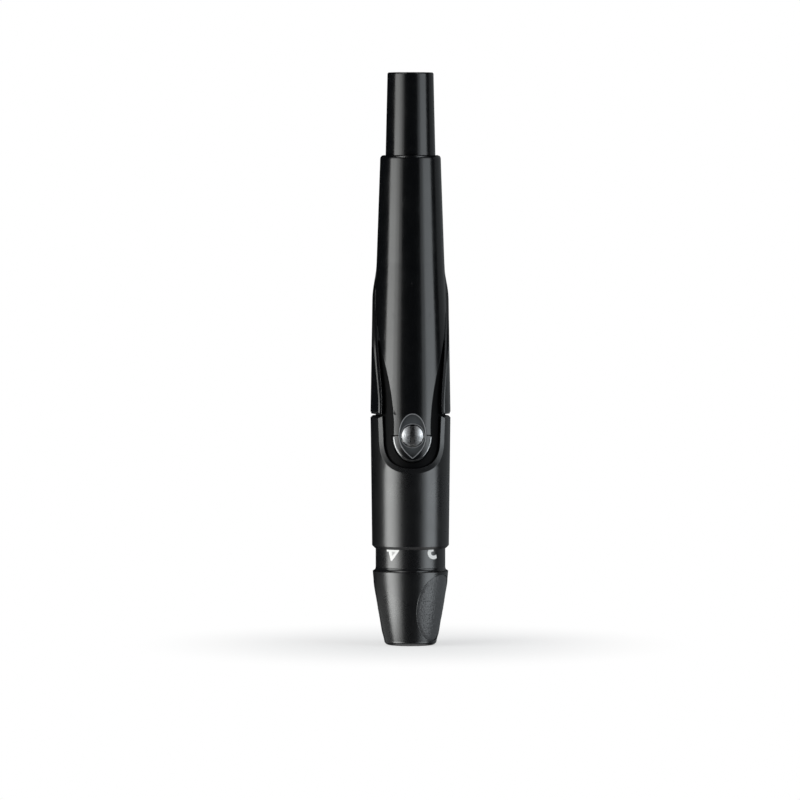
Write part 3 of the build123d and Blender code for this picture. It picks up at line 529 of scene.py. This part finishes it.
def adopt(mesh: Mesh, name: str, body: str, material: Material) -> bpy.types.Object:
    """Makes a finished mesh a piece of the object.

    Args:
        mesh: The mesh, already in place.
        name: Name of the piece.
        body: The body that it rides on.
        material: Its finish.

    Returns:
        The new object.
    """
    piece = in_scene(name, mesh)
    mesh.materials.clear()
    mesh.materials.append(material)
    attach(piece, body)
    log.info("%s: %d faces on %s", name, len(mesh.polygons), body)
    return piece


def dress(names: tuple[str, ...], material: Material) -> None:
    """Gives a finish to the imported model's own pieces.

    Args:
        names: The pieces' names.
        material: Their finish.
    """
    for name in names:
        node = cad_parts[name]
        if not node.material_slots:
            node.data.materials.append(material)
        for place in node.material_slots:
            place.material = material
        log.info("%s dressed in %s", name, material.name)


def meshed(shape: Shape, name: str, smooth: bool = True) -> Mesh:
    """Turns a finished shape into a mesh and frees it.

    Args:
        shape: The shape, not used after this.
        name: Name of the mesh.
        smooth: Whether its faces are shaded smooth.

    Returns:
        The mesh.
    """
    mesh = bpy.data.meshes.new(name)
    shape.to_mesh(mesh)
    shape.free()
    if smooth:
        mesh.shade_smooth()
    return mesh


def shape_of(curve: bpy.types.Curve, merge: float) -> Shape:
    """Turns a curve into a shape.

    Args:
        curve: The curve.
        merge: How near points are to be merged.

    Returns:
        The shape.
    """
    carrier = bpy.data.objects.new(curve.name, curve)
    mesh = bpy.data.meshes.new_from_object(carrier)
    bpy.data.objects.remove(carrier)
    shape = bmesh.new()
    shape.from_mesh(mesh)
    bpy.data.meshes.remove(mesh)
    bmesh.ops.remove_doubles(shape, verts=shape.verts, dist=merge)
    return shape


def spun(
    profile: list[tuple[float, float]], steps: int, merge: float, closed: bool = True
) -> Shape:
    """Spins a profile right round the Z axis and merges its seam and pole.

    Args:
        profile: Its corners as (radius, height).
        steps: Facets all the way round.
        merge: How near points are to be merged.
        closed: Whether the profile runs back to its start.

    Returns:
        The shape.
    """
    shape = bmesh.new()
    corners = [shape.verts.new((radius, 0.0, height)) for radius, height in profile]
    others = corners[1:] + corners[:1] if closed else corners[1:]
    edges = [shape.edges.new(pair) for pair in zip(corners, others)]
    whole = {"cent": (0, 0, 0), "axis": (0, 0, 1), "angle": math.tau, "use_merge": True}
    bmesh.ops.spin(shape, geom=[*corners, *edges], steps=steps, use_duplicate=False, **whole)
    bmesh.ops.remove_doubles(shape, verts=shape.verts, dist=merge)
    bmesh.ops.recalc_face_normals(shape, faces=shape.faces)
    return shape


def bead(
    points: list[Vector], thickness: float, closed: bool = True, swell: list[float] | None = None
) -> Mesh:
    """Makes a thin round bead along a line.

    Args:
        points: The line's points, in millimetres.
        thickness: The bead's radius, in millimetres.
        closed: Whether the line runs back to its start.
        swell: The share of the thickness at each point, all of it if left out.

    Returns:
        Its mesh, in place.
    """
    curve = bpy.data.curves.new("bead", "CURVE")
    curve.dimensions = "3D"
    curve.bevel_depth = thickness * MM
    curve.bevel_resolution = 3
    line = curve.splines.new("POLY")
    line.points.add(len(points) - 1)
    for place, point, share in zip(line.points, points, swell or [1.0] * len(points)):
        place.co = (*(point * MM), 1.0)
        place.radius = share
    line.use_cyclic_u = closed
    curve.use_fill_caps = not closed
    shape = shape_of(curve, 1e-7)
    bmesh.ops.recalc_face_normals(shape, faces=shape.faces)
    return meshed(shape, "bead")


@dataclass
class Dressed:
    """A sub-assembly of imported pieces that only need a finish."""

    finishes: tuple[MouldedPlastic | Steel, ...]

    def build(self) -> None:
        """Dresses the pieces."""
        for finish in self.finishes:
            dress(finish.worn_by, finish.make())


@dataclass
class PenShell(Dressed):
    """The outer skin: rear housing, plunger, sleeve, release button and nose."""

    finishes: tuple[MouldedPlastic | Steel, ...] = (
        MouldedPlastic(
            "gloss_black_plastic", (0.0018, 0.002, 0.0024), 0.18, grain=1.6, grain_depth=0.0015,
            ior=1.58, worn_by=("rear_housing", "plunger"),
        ),
        MouldedPlastic(
            "satin_black_plastic", (0.0022, 0.0024, 0.0028), 0.27, grain=0.16, ior=1.66,
            worn_by=("ejector_sleeve", "nose_cap", "scale_ring"),
        ),
        MouldedPlastic(
            "button_plastic", (0.0018, 0.002, 0.0024), 0.2, grain=0.6, grain_depth=0.002,
            ior=1.6, panel=(0.04, 0.043, 0.046), worn_by=("release_lever",),
        ),
    )


@dataclass(frozen=True)
class Figure:
    """One of the dial's numbers.

    It stands at an angle from the front, positive towards +X, and its foot at a height.
    """

    text: str
    angle: float
    width: float = 2.85
    height: float = 4.1
    foot: float = 18.0
    swell: float = 0.02


@dataclass
class DialNumbers:
    """Plain white numbers round the depth dial, upside down on the standing pen."""

    plastic: MouldedPlastic = MouldedPlastic(
        "dial_foot_plastic", (0.004, 0.004, 0.0045), 0.2, grain=0.3, grain_depth=0.001, ior=1.66
    )
    figures: tuple[Figure, ...] = (
        Figure("4", -34.0, width=3.05, height=3.45, foot=17.72, swell=0.004),
        Figure("3", 34.0),
        Figure("2", 102.0),
        Figure("1", 170.0, width=1.3, foot=17.72),
        Figure("5", -102.0),
    )
    radius: float = 7.19
    relief: float = 0.03
    root: float = 0.05
    lean: float = -0.22
    slice_width: float = 0.2
    fillet_heights: tuple[float, float] = (15.42, 16.2)
    fillet_reach: float = 0.42
    fillet_inset: float = 0.12
    fillet_base: float = 0.05
    fillet_steps: int = 10
    fillet_segments: int = 128

    def build(self) -> None:
        """Makes the dial's foot and one raised figure for each whole number."""
        adopt(self.foot_fillet(), "dial_foot", "depth_dial", self.plastic.make())
        ink = PadInk("number_ink").make()
        for one in self.figures:
            name = f"dial_number_{one.text}"
            adopt(self.round_ring(one), name, "depth_dial", ink)

    def foot_fillet(self) -> Mesh:
        """Makes the hollow fillet where the dial meets the nose.

        Returns:
            Its mesh, in place.
        """
        low, high = self.fillet_heights
        base, inner = low - self.fillet_base, self.radius - self.fillet_inset
        profile = [(inner, high)]
        for i in range(self.fillet_steps + 1):
            turn = math.radians(90 * i / self.fillet_steps)
            out = self.radius + self.fillet_reach * (1 - math.cos(turn))
            profile.append((out, high - (high - low) * math.sin(turn)))
        profile += [(self.radius + self.fillet_reach, base), (inner, base)]
        metres = [(radius * MM, height * MM) for radius, height in profile]
        return meshed(spun(metres, self.fillet_segments, 1e-8), "dial_foot")

    def round_ring(self, figure: Figure) -> Mesh:
        """Makes one figure and lays it round the ring.

        Args:
            figure: The figure.

        Returns:
            Its mesh, in place.
        """
        curve = bpy.data.curves.new(f"figure_{figure.text}", "FONT")
        curve.body = figure.text
        curve.align_x = "CENTER"
        curve.offset = figure.swell
        curve.shear = self.lean
        curve.extrude = 0.5
        curve.resolution_u = 6
        shape = shape_of(curve, 1e-5)
        across, up = ([v.co[axis] for v in shape.verts] for axis in (0, 1))
        middle, width = (max(across) + min(across)) / 2, max(across) - min(across)
        foot, height = min(up), max(up) - min(up)
        # Centred, turned upside down and brought to millimetres
        size = (-figure.width / width, -(figure.height / height), 1.0)
        bmesh.ops.translate(shape, verts=shape.verts, vec=(-middle, -foot - height, 0.0))
        bmesh.ops.scale(shape, verts=shape.verts, vec=size)
        reach = max(abs(v.co.x) for v in shape.verts)
        cuts = max(2, int(reach * 2 / self.slice_width))
        for i in range(1, cuts):
            at = (-reach + 2 * reach * i / cuts, 0, 0)
            whole = [*shape.verts, *shape.edges, *shape.faces]
            bmesh.ops.bisect_plane(shape, geom=whole, plane_co=at, plane_no=(1, 0, 0))
        for vert in shape.verts:
            turn = math.radians(figure.angle) + vert.co.x / self.radius
            out = self.radius + (self.relief if vert.co.z > 0 else -self.root)
            place = (out * math.sin(turn), -out * math.cos(turn), figure.foot + vert.co.y)
            vert.co = Vector(place) * MM
        bmesh.ops.recalc_face_normals(shape, faces=shape.faces)
        return meshed(shape, curve.name, smooth=False)


@dataclass
class ThumbPatches:
    """The two rough oval patches that the thumb and finger turn the nose by."""

    rough: MouldedPlastic = MouldedPlastic(
        "grip_plastic", (0.036, 0.037, 0.039), 0.38, grain=0.14, grain_depth=0.009, smudges=0.15,
        scratches=0.0, dust=0.5, rounding=0.03, ior=1.6,
    )
    polished: MouldedPlastic = MouldedPlastic(
        "patch_edge_plastic", (0.02, 0.021, 0.023), 0.25, grain=0.3, grain_depth=0.002,
        rounding=0.02, ior=1.6,
    )
    centres: tuple[float, ...] = (54.0, 234.0)
    half_angle: float = 46.0
    middle: float = 7.85
    half_height: float = 6.9
    depth: float = 0.18
    margin: float = 0.01
    behind: float = 3.0
    nose_height: float = 15.3
    tip_radius: float = 5.42
    top_radius: float = 7.8
    bulge: float = 0.32
    tip_round: float = 0.9
    floor: float = 0.1
    grain: float = 0.36
    grain_height: float = 0.035
    fine_grain: float = 2.3
    fine_share: float = 0.5
    pit_spacing: float = 0.8
    pit_share: float = 0.2
    pit_depth: float = 0.09
    rim_slope: float = 9.0
    wall: float = 0.06
    edge_radius: float = 0.07
    edge_depth: float = 0.03
    columns: int = 120
    rows: int = 140

    def build(self) -> None:
        """Makes both patches."""
        rough, polished = self.rough.make(), self.polished.make()
        for number, centre in enumerate(self.centres, 1):
            name = f"thumb_patch_{number}"
            piece = adopt(self.patch(centre), name, "depth_dial", rough)
            wall = piece.modifiers.new("wall", "SOLIDIFY")
            wall.thickness = self.wall * MM
            wall.offset = -1.0
            name = f"thumb_patch_edge_{number}"
            adopt(self.edge(centre), name, "depth_dial", polished)

    def nose_radius(self, height: float) -> float:
        """Radius of the nose's skin at a height, both in millimetres."""
        share = (height - self.tip_round) / (self.nose_height - self.tip_round)
        chord = self.tip_radius + (self.top_radius - self.tip_radius) * share
        return chord + 4 * self.bulge * share * (1 - share)

    def relief(self, point: Vector, rim: float) -> float:
        """Height of the rough surface over the sunk floor.

        Args:
            point: A point on the skin.
            rim: 0 at the patch's edge, rising to 1 inside.

        Returns:
            The height, in millimetres, which stays under the nose's skin.
        """
        lump = noise.noise(point / self.grain)
        lump += self.fine_share * noise.noise(point * self.fine_grain / self.grain)
        pit = max(0.0, 1 - noise.voronoi(point / self.pit_spacing)[0][0] / self.pit_share)
        height = (self.floor + self.grain_height * lump - self.pit_depth * pit) * rim - self.margin
        return max(-2 * self.margin, min(self.depth - self.margin, height))

    def spot(
        self, centre: float, across: float, up: float, sunk: Callable[[Vector], float]
    ) -> Vector:
        """Where a point of the oval lies on the nose.

        Args:
            centre: The oval's middle, in degrees from the front towards +X.
            across: Share of the oval's half width.
            up: Share of its half height.
            sunk: Gives how far under the nose's skin the point lies.

        Returns:
            The point, in millimetres.
        """
        middle = self.nose_radius(self.nose_height / 2)
        half = math.radians(self.half_angle)
        slope = middle * math.sin(half) / (middle * math.cos(half) + self.behind) * across
        height = self.middle + self.half_height * up
        skin = self.nose_radius(height)
        turn = math.atan(slope) + math.asin(self.behind * slope / (skin * math.hypot(1, slope)))
        turn += math.radians(centre)
        on_skin = Vector((skin * math.sin(turn), -skin * math.cos(turn), height))
        out = skin - sunk(on_skin)
        return Vector((out * math.sin(turn), -out * math.cos(turn), height))

    def edge(self, centre: float) -> Mesh:
        """Makes the fine polished edge round one patch."""
        turns = [math.tau * i / self.rows for i in range(self.rows)]
        line = [
            self.spot(centre, math.cos(t), math.sin(t), lambda _: self.edge_depth) for t in turns
        ]
        return bead(line, self.edge_radius)

    def patch(self, centre: float) -> Mesh:
        """Makes one patch as a dense grid, pressed into an oval on the nose.

        Args:
            centre: Its middle, in degrees from the front towards +X.

        Returns:
            Its mesh, in place.
        """
        shape = bmesh.new()
        bmesh.ops.create_grid(shape, x_segments=self.columns, y_segments=self.rows, size=1.0)
        for vert in shape.verts:
            x, y = vert.co.x, vert.co.y
            across, up = x * math.sqrt(1 - y * y / 2), y * math.sqrt(1 - x * x / 2)
            rim = min(1.0, (1 - math.hypot(across, up)) * self.rim_slope)
            spot = self.spot(centre, across, up, lambda at: self.depth - self.relief(at, rim))
            vert.co = spot * MM
        bmesh.ops.recalc_face_normals(shape, faces=shape.faces)
        return meshed(shape, "thumb_patch")


@dataclass
class ViewingWindow:
    """The clear dome of the release button, its silvered seat and its ring.

    With it go the eye's rim round the sunk panel and the two lips of the button's bowl. The ring
    and the eye's rim are grey as a painted highlight, and the lips' lighter grey is partly painted
    highlight.
    """

    # Painted highlight: the ring round the dome and the eye's rim are light grey, standing in for
    # the highlight on their edges.
    painted_highlight_trim: MouldedPlastic = MouldedPlastic(
        "window_ring_painted_highlight", (0.13, 0.134, 0.14), 0.22, grain=0.4, grain_depth=0.002,
        smudges=0.1, rounding=0.03, ior=1.6,
    )
    # The lips' grey is lighter than the shell: their bright arcs are partly the highlight that
    # their round shape catches and partly painted highlight.
    polished: MouldedPlastic = MouldedPlastic(
        "button_rim_painted_highlight", (0.05, 0.053, 0.056), 0.36, grain=0.4, grain_depth=0.001,
        rounding=0.02, ior=3.4,
    )
    # The silver seat is dimmed near the slot as a painted dark reflection.
    silver: Steel = Steel("window_seat_silver", (0.52, 0.53, 0.54), 0.24, 250.0, painted_dark_reach=1.9)
    ring: tuple[tuple[float, float], ...] = (
        *((2.37, 0.0), (2.54, 0.0), (2.54, 0.05)),
        *((2.49, 0.12), (2.42, 0.12), (2.37, 0.06)),
    )
    centre: float = 43.5
    radius: float = 2.37
    seat: float = 7.45
    skin: float = 8.12
    eye_half_width: float = 2.76
    eye_up: float = 4.5
    eye_down: float = 4.6
    eye_fullness: float = 0.55
    rim_radius: float = 0.1
    rim_sunk: float = 0.3
    button_half_width: float = 3.62
    button_drop: float = 5.09
    lip_radius: float = 0.42
    lip_sunk: float = 0.75
    lip_start: float = 2.0
    lip_reach: float = 68.0
    lip_least: float = 0.06
    dome_radius: float = 4.36
    dome_height: float = 0.7
    dome_gap: float = 0.12
    seat_wall: float = 0.05
    seat_steps: int = 18
    slot_half_width: float = 0.4
    segments: int = 64

    def build(self) -> None:
        """Dresses the dome and adds the bright parts that it shows."""
        dress(("window_lens",), ClearPlastic("clear_dome_plastic").make())
        painted_highlight_trim, silver = self.painted_highlight_trim.make(), self.silver.make()
        ring = self.placed(spun(self.ring, self.segments, 1e-6))
        adopt(ring, "window_ring", "release", painted_highlight_trim)
        adopt(bead(self.eye_line(), self.rim_radius), "eye_rim", "release", painted_highlight_trim)
        polished = self.polished.make()
        for side in Side:
            name = side.name.lower()
            half = self.seat_half(side)
            adopt(half, f"window_seat_{name}", "release", silver)
            line, swell = self.lip_line(side)
            lip = bead(line, self.lip_radius, closed=False, swell=swell)
            adopt(lip, f"button_rim_{name}", "release", polished)

    def on_skin(self, x: float, z: float, sunk: float) -> Vector:
        """Point sunk in the button's skin, from its place across and above the window's middle."""
        return Vector((x, -math.sqrt((self.skin - sunk) ** 2 - x * x), self.centre + z))

    def lip_line(self, side: Side) -> tuple[list[Vector], list[float]]:
        """The edge of the button's bowl on one side, thinning out towards the bottom.

        Args:
            side: Which side.

        Returns:
            Its points, in millimetres, and the bead's share at each.
        """
        line, swell = [], []
        for i in range(self.segments + 1):
            along = i / self.segments
            turn = math.radians(self.lip_start + self.lip_reach * along)
            x = self.button_half_width * math.cos(turn) * side.value
            z = -self.button_drop * math.sin(turn)
            line.append(self.on_skin(x, z, self.lip_radius * self.lip_sunk))
            swell.append(max(self.lip_least, 1.0 - along**2))
        return line, swell

    def eye_line(self) -> list[Vector]:
        """The long oval's outline on the button's skin, rounded above and pointed below.

        Returns:
            Its points, in millimetres.
        """
        flat = []
        for i in range(self.segments):
            turn = math.pi * i / self.segments
            flat.append((self.eye_half_width * math.cos(turn), self.eye_up * math.sin(turn)))
        half = self.segments // 2
        down = [i / half for i in range(half)]
        for side, shares in ((-1, down), (1, [1 - share for share in down])):
            for share in shares:
                bulge, end = 2 * share * (1 - share), share * share
                x = side * self.eye_half_width * ((1 - share) ** 2 + bulge)
                flat.append((x, -self.eye_down * (self.eye_fullness * bulge + end)))
        return [self.on_skin(x, z, self.rim_radius * self.rim_sunk) for x, z in flat]

    def seat_half(self, side: Side) -> Mesh:
        """Makes one silvered half of the cap under the dome, beside the slot for the flag.

        Args:
            side: Which half.

        Returns:
            Its mesh, in place.
        """
        under = self.dome_radius - self.dome_gap
        widest = math.asin((self.radius - self.dome_gap) / under)
        rise = self.dome_height - self.dome_radius
        turns = [widest * i / self.seat_steps for i in range(self.seat_steps + 1)]
        arc = [(under * math.sin(t), under * math.cos(t) + rise) for t in turns]
        shape = spun(arc, self.segments, 1e-6, closed=False)
        cut = {"plane_co": (self.slot_half_width * side.value, 0, 0), "clear_outer": True}
        whole = [*shape.verts, *shape.edges, *shape.faces]
        bmesh.ops.bisect_plane(shape, geom=whole, plane_no=(-side.value, 0, 0), **cut)
        bmesh.ops.recalc_face_normals(shape, faces=shape.faces)
        bmesh.ops.solidify(shape, geom=shape.faces[:], thickness=self.seat_wall)
        return self.placed(shape)

    def placed(self, shape: Shape) -> Mesh:
        """Turns a shape to face the front, brings it to the dome's seat and makes its mesh."""
        bmesh.ops.recalc_face_normals(shape, faces=shape.faces)
        turn = Matrix.Rotation(math.radians(90), 4, "X")
        place = Matrix.Scale(MM, 4) @ Matrix.Translation((0, -self.seat, self.centre)) @ turn
        bmesh.ops.transform(shape, matrix=place, verts=shape.verts)
        return meshed(shape, "window_part")


@dataclass
class InnerWorks(Dressed):
    """Everything that shows when the cap is off and the parts move."""

    finishes: tuple[MouldedPlastic | Steel, ...] = (
        # Painted shade: the chassis is darker than the shell and barely glossy, so the recess round
        # the button shows as shadow.
        MouldedPlastic(
            "chassis_plastic_painted_shade", (0.0012, 0.0013, 0.0015), 0.5, grain=0.25, grain_depth=0.006,
            rounding=0.08, ior=1.4, specular=0.08, worn_by=("front_chassis", "cap_core"),
        ),
        MouldedPlastic(
            "bearing_plastic", (0.16, 0.17, 0.185), 0.38, grain=0.3, grain_depth=0.005,
            rounding=0.08, worn_by=("rear_chassis",),
        ),
        MouldedPlastic(
            "white_plastic", (0.72, 0.72, 0.69), 0.36, grain=0.35, grain_depth=0.005,
            rounding=0.08, mottle=0.05,
            worn_by=("end_plate", "lancet_holder", "spring_hub", "click_ring"),
        ),
        MouldedPlastic(
            "drum_plastic", (0.76, 0.74, 0.66), 0.3, grain=0.4, rounding=0.06, mottle=0.05,
            worn_by=("drive_drum",),
        ),
        MouldedPlastic(
            "winder_plastic", (0.05, 0.13, 0.36), 0.34, grain=0.35, grain_depth=0.005,
            rounding=0.06, mottle=0.1, worn_by=("winder",),
        ),
        MouldedPlastic(
            "flag_plastic", (0.004, 0.004, 0.004), 0.4, grain=0.3, rounding=0.05, mottle=0.08,
            panel=(0.83, 0.5, 0.02), panel_half_width=1.3, panel_depth=-20.0,
            worn_by=("indicator_flag",),
        ),
        Steel("spring_wire", worn_by=("drive_spring",)),
        Steel(
            "turned_steel", (0.62, 0.62, 0.63), 0.24, 1500.0,
            worn_by=("ejector_crossbar", "follower_pin", "winding_spindle", "lever_pin"),
        ),
    )


@dataclass
class WorkingSprings:
    """The springs, as copies of the imported ones: two ride with their part and the lever's leg
    spring stays in place.
    """

    plunger_travel: float = 8.0
    holder_travel: float = 6.0
    lever_pivot: tuple[float, float] = (-6.0, 52.0)
    leg_from: float = 0.9
    leg_to: float = 2.0
    sharp_angle: float = 50.0
    wire: Steel = Steel("working_spring_wire")

    def build(self) -> None:
        """Makes the two pressed springs and the lever's leg spring."""
        wire = self.wire.make()
        self.pressed("return_spring", "plunger", wire)
        self.pressed("holder_spring", "holder", wire)
        leg = self.stand_in("lever_spring", wire)
        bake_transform(leg)

    def stand_in(self, node: str, wire: Material) -> bpy.types.Object:
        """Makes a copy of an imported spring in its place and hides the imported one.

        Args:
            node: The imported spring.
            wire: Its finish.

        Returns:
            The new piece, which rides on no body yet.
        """
        shape = bmesh.new()
        shape.from_mesh(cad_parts[node].data)
        bmesh.ops.remove_doubles(shape, verts=shape.verts, dist=1e-7)
        mesh = meshed(shape, f"{node}_wire")
        mesh.set_sharp_from_angle(angle=math.radians(self.sharp_angle))
        mesh.materials.append(wire)
        piece = in_scene(f"{node}_wire", mesh)
        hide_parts(node)
        return piece

    def pressed(self, node: str, body: str, wire: Material) -> None:
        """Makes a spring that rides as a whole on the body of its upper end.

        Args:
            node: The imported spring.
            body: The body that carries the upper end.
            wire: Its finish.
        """
        piece = self.stand_in(node, wire)
        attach(piece, body)
        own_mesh(piece)


@dataclass
class Softbox:
    """An upright light panel, between two angles round the pen.

    Each row is (lower edge, upper edge, share of the radiance).
    """

    name: str
    side: Side
    near: float
    far: float
    radiance: float
    rows: tuple[Row, ...]
    distance: float = 0.62

    def build(self) -> None:
        """Makes one lamp for each row, facing the pen."""
        middle = math.radians((self.near + self.far) / 2) * self.side.value
        width = 2 * self.distance * math.tan(math.radians(abs(self.far - self.near)) / 2)
        spot = Vector((math.sin(middle), -math.cos(middle), 0.0)) * self.distance
        for number, (low, high, share) in enumerate(self.rows, 1):
            lamp = bpy.data.lights.new(f"softbox_{self.name}_{number}", "AREA")
            lamp.shape = "RECTANGLE"
            lamp.size, lamp.size_y = width, high - low
            lamp.energy = self.radiance * share * math.pi * width * (high - low)
            lamp.color = TINTS[self.side]
            stand = in_scene(lamp.name, lamp)
            stand.location = spot + Vector((0, 0, (low + high) / 2))
            stand.rotation_euler = (-spot).to_track_quat("-Z", "Y").to_euler()
            stand.visible_camera = False


@dataclass
class Studio:
    """Pale floor, black cards, softboxes and the camera."""

    view_azimuth: float = -3.0
    view_elevation: float = 2.4
    aim: tuple[float, float, float] = (-2.165, 0.0, 50.54)
    distance: float = 1.2
    view_height: float = 0.165
    sensor: float = 36.0
    sight: float = 20.0
    floor_reach: float = 3.0
    floor_grey: float = 0.86
    shade_from: float = 0.006
    shade_to: float = 0.06
    shade_share: float = 0.58
    card_radius: float = 0.8
    card_height: float = 2.2
    card_foot: float = -0.9
    card_segments: int = 96
    card_tint: Colour = (0.8, 0.9, 1.0)
    card_glow: float = 0.008
    lid_radius: float = 1.3
    lid_height: float = 2.0
    sky_tint: Colour = (0.97, 0.98, 1.0)
    sky_strength: float = 0.32
    softboxes: tuple[Softbox, ...] = (
        Softbox("left_1", Side.LEFT, 56, 84, 7.1, LEFT_ROWS),
        Softbox("left_2", Side.LEFT, 44, 56, 5.0, LEFT_ROWS),
        Softbox("left_3", Side.LEFT, 34, 44, 2.0, LEFT_ROWS),
        Softbox("right_1", Side.RIGHT, 44, 78, 3.4, RIGHT_ROWS),
        Softbox("right_2", Side.RIGHT, 32, 44, 1.3, RIGHT_ROWS),
        Softbox("right_rear", Side.RIGHT, 100, 160, 0.22, ((-0.33, 0.45, 1.0),)),
        Softbox("left_rear", Side.LEFT, 100, 150, 0.33, ((-0.33, -0.1, 1.0),)),
        Softbox("left_high", Side.LEFT, 40, 90, 7.0, HIGH_ROWS),
        Softbox("right_high", Side.RIGHT, 40, 90, 4.5, HIGH_ROWS),
    )

    def build(self) -> None:
        """Makes the studio."""
        self.floor()
        self.cards()
        for softbox in self.softboxes:
            softbox.build()
        self.world()
        self.camera()
        bpy.context.scene.view_settings.view_transform = "Standard"

    def floor(self) -> None:
        """A plain pale floor that keeps the pen's shadow."""
        shape = bmesh.new()
        bmesh.ops.create_grid(shape, x_segments=1, y_segments=1, size=self.floor_reach)
        mesh = meshed(shape, "floor", smooth=False)
        mesh.materials.append(self.floor_paper())
        floor = in_scene("floor", mesh)
        floor.visible_glossy = False
        floor.visible_shadow = False

    def floor_paper(self) -> Material:
        """White paper: lit and shaded near the pen, plain white to the camera beyond.

        Returns:
            The material.
        """
        grey = (self.floor_grey, self.floor_grey, self.floor_grey, 1.0)
        paint = Paint("floor_paper", Base_Color=grey, Roughness=0.9, Specular_IOR_Level=0.1)
        span = paint.add("VectorMath", {0: paint.where()}, operation="LENGTH")
        away = span.outputs["Value"]
        fade = paint.ease(away, self.shade_from, self.shade_to, self.shade_share)
        seen = paint.add("LightPath").outputs["Is Camera Ray"]
        share = paint.math("MULTIPLY", fade, seen)
        white = paint.add("Emission").outputs[0]
        blend = paint.add("MixShader", {0: share, 1: paint.shader.outputs[0], 2: white})
        paint.feed(paint.output.inputs["Surface"], blend.outputs[0])
        return paint.material

    def cards(self) -> None:
        """Black cards round the pen and a lid high over it, that only its gloss sees."""
        shape = bmesh.new()
        circle = {"segments": self.card_segments, "radius": self.card_radius}
        bmesh.ops.create_circle(shape, cap_ends=False, **circle)
        grown = bmesh.ops.extrude_edge_only(shape, edges=shape.edges[:])["geom"]
        rise = [v for v in grown if isinstance(v, bmesh.types.BMVert)]
        bmesh.ops.translate(shape, verts=rise, vec=(0, 0, self.card_height))
        bmesh.ops.translate(shape, verts=shape.verts, vec=(0, 0, self.card_foot))
        circle["radius"] = self.lid_radius
        lid = bmesh.ops.create_circle(shape, cap_ends=True, **circle)
        bmesh.ops.translate(shape, verts=lid["verts"], vec=(0, 0, self.lid_height))
        mesh = meshed(shape, "black_cards", smooth=False)
        paint = Paint(
            "black_card", Base_Color=(0.0, 0.0, 0.0, 1.0), Roughness=1.0, Specular_IOR_Level=0.0,
            Emission_Color=(*self.card_tint, 1.0), Emission_Strength=self.card_glow,
        )
        mesh.materials.append(paint.material)
        cards = in_scene("black_cards", mesh)
        cards.visible_camera = False
        cards.visible_diffuse = False
        cards.visible_transmission = False
        cards.visible_shadow = False

    def world(self) -> None:
        """White to the camera, to gloss and through glass, and dim on the pen."""
        world = bpy.data.worlds.new("studio")
        bpy.context.scene.world = world
        world.use_nodes = True
        sky = Nodes(world.node_tree)
        sky.tree.nodes.clear()
        path = sky.add("LightPath").outputs
        seen = path["Is Camera Ray"]
        for label in ("Is Glossy Ray", "Is Transmission Ray"):
            seen = sky.math("MAXIMUM", seen, path[label])
        look = {"Color": (*self.sky_tint, 1.0), "Strength": self.sky_strength}
        dim = sky.add("Background", look).outputs[0]
        white = sky.add("Background", {"Color": WHITE}).outputs[0]
        both = sky.add("MixShader", {0: seen, 1: dim, 2: white}).outputs[0]
        sky.add("OutputWorld", {"Surface": both})

    def camera(self) -> None:
        """A long lens at the photograph's angle."""
        lens = bpy.data.cameras.new("camera")
        lens.sensor_width = self.sensor
        lens.lens = self.sensor * self.distance / self.view_height
        lens.clip_end = self.sight
        eye = in_scene("camera", lens)
        turn, rise = math.radians(self.view_azimuth), math.radians(self.view_elevation)
        across = math.cos(rise)
        look = Vector((math.sin(turn) * across, -math.cos(turn) * across, math.sin(rise)))
        eye.location = Vector(self.aim) * MM + look * self.distance
        eye.rotation_euler = (-look).to_track_quat("-Z", "Y").to_euler()
        bpy.context.scene.camera = eye


def main() -> None:
    """Builds the pen's pieces in order, then the studio."""
    logging.basicConfig(level=logging.INFO, format="%(name)s: %(message)s")
    PenShell().build()
    DialNumbers().build()
    ThumbPatches().build()
    ViewingWindow().build()
    InnerWorks().build()
    WorkingSprings().build()
    Studio().build()


if __name__ == "__main__":
    main()
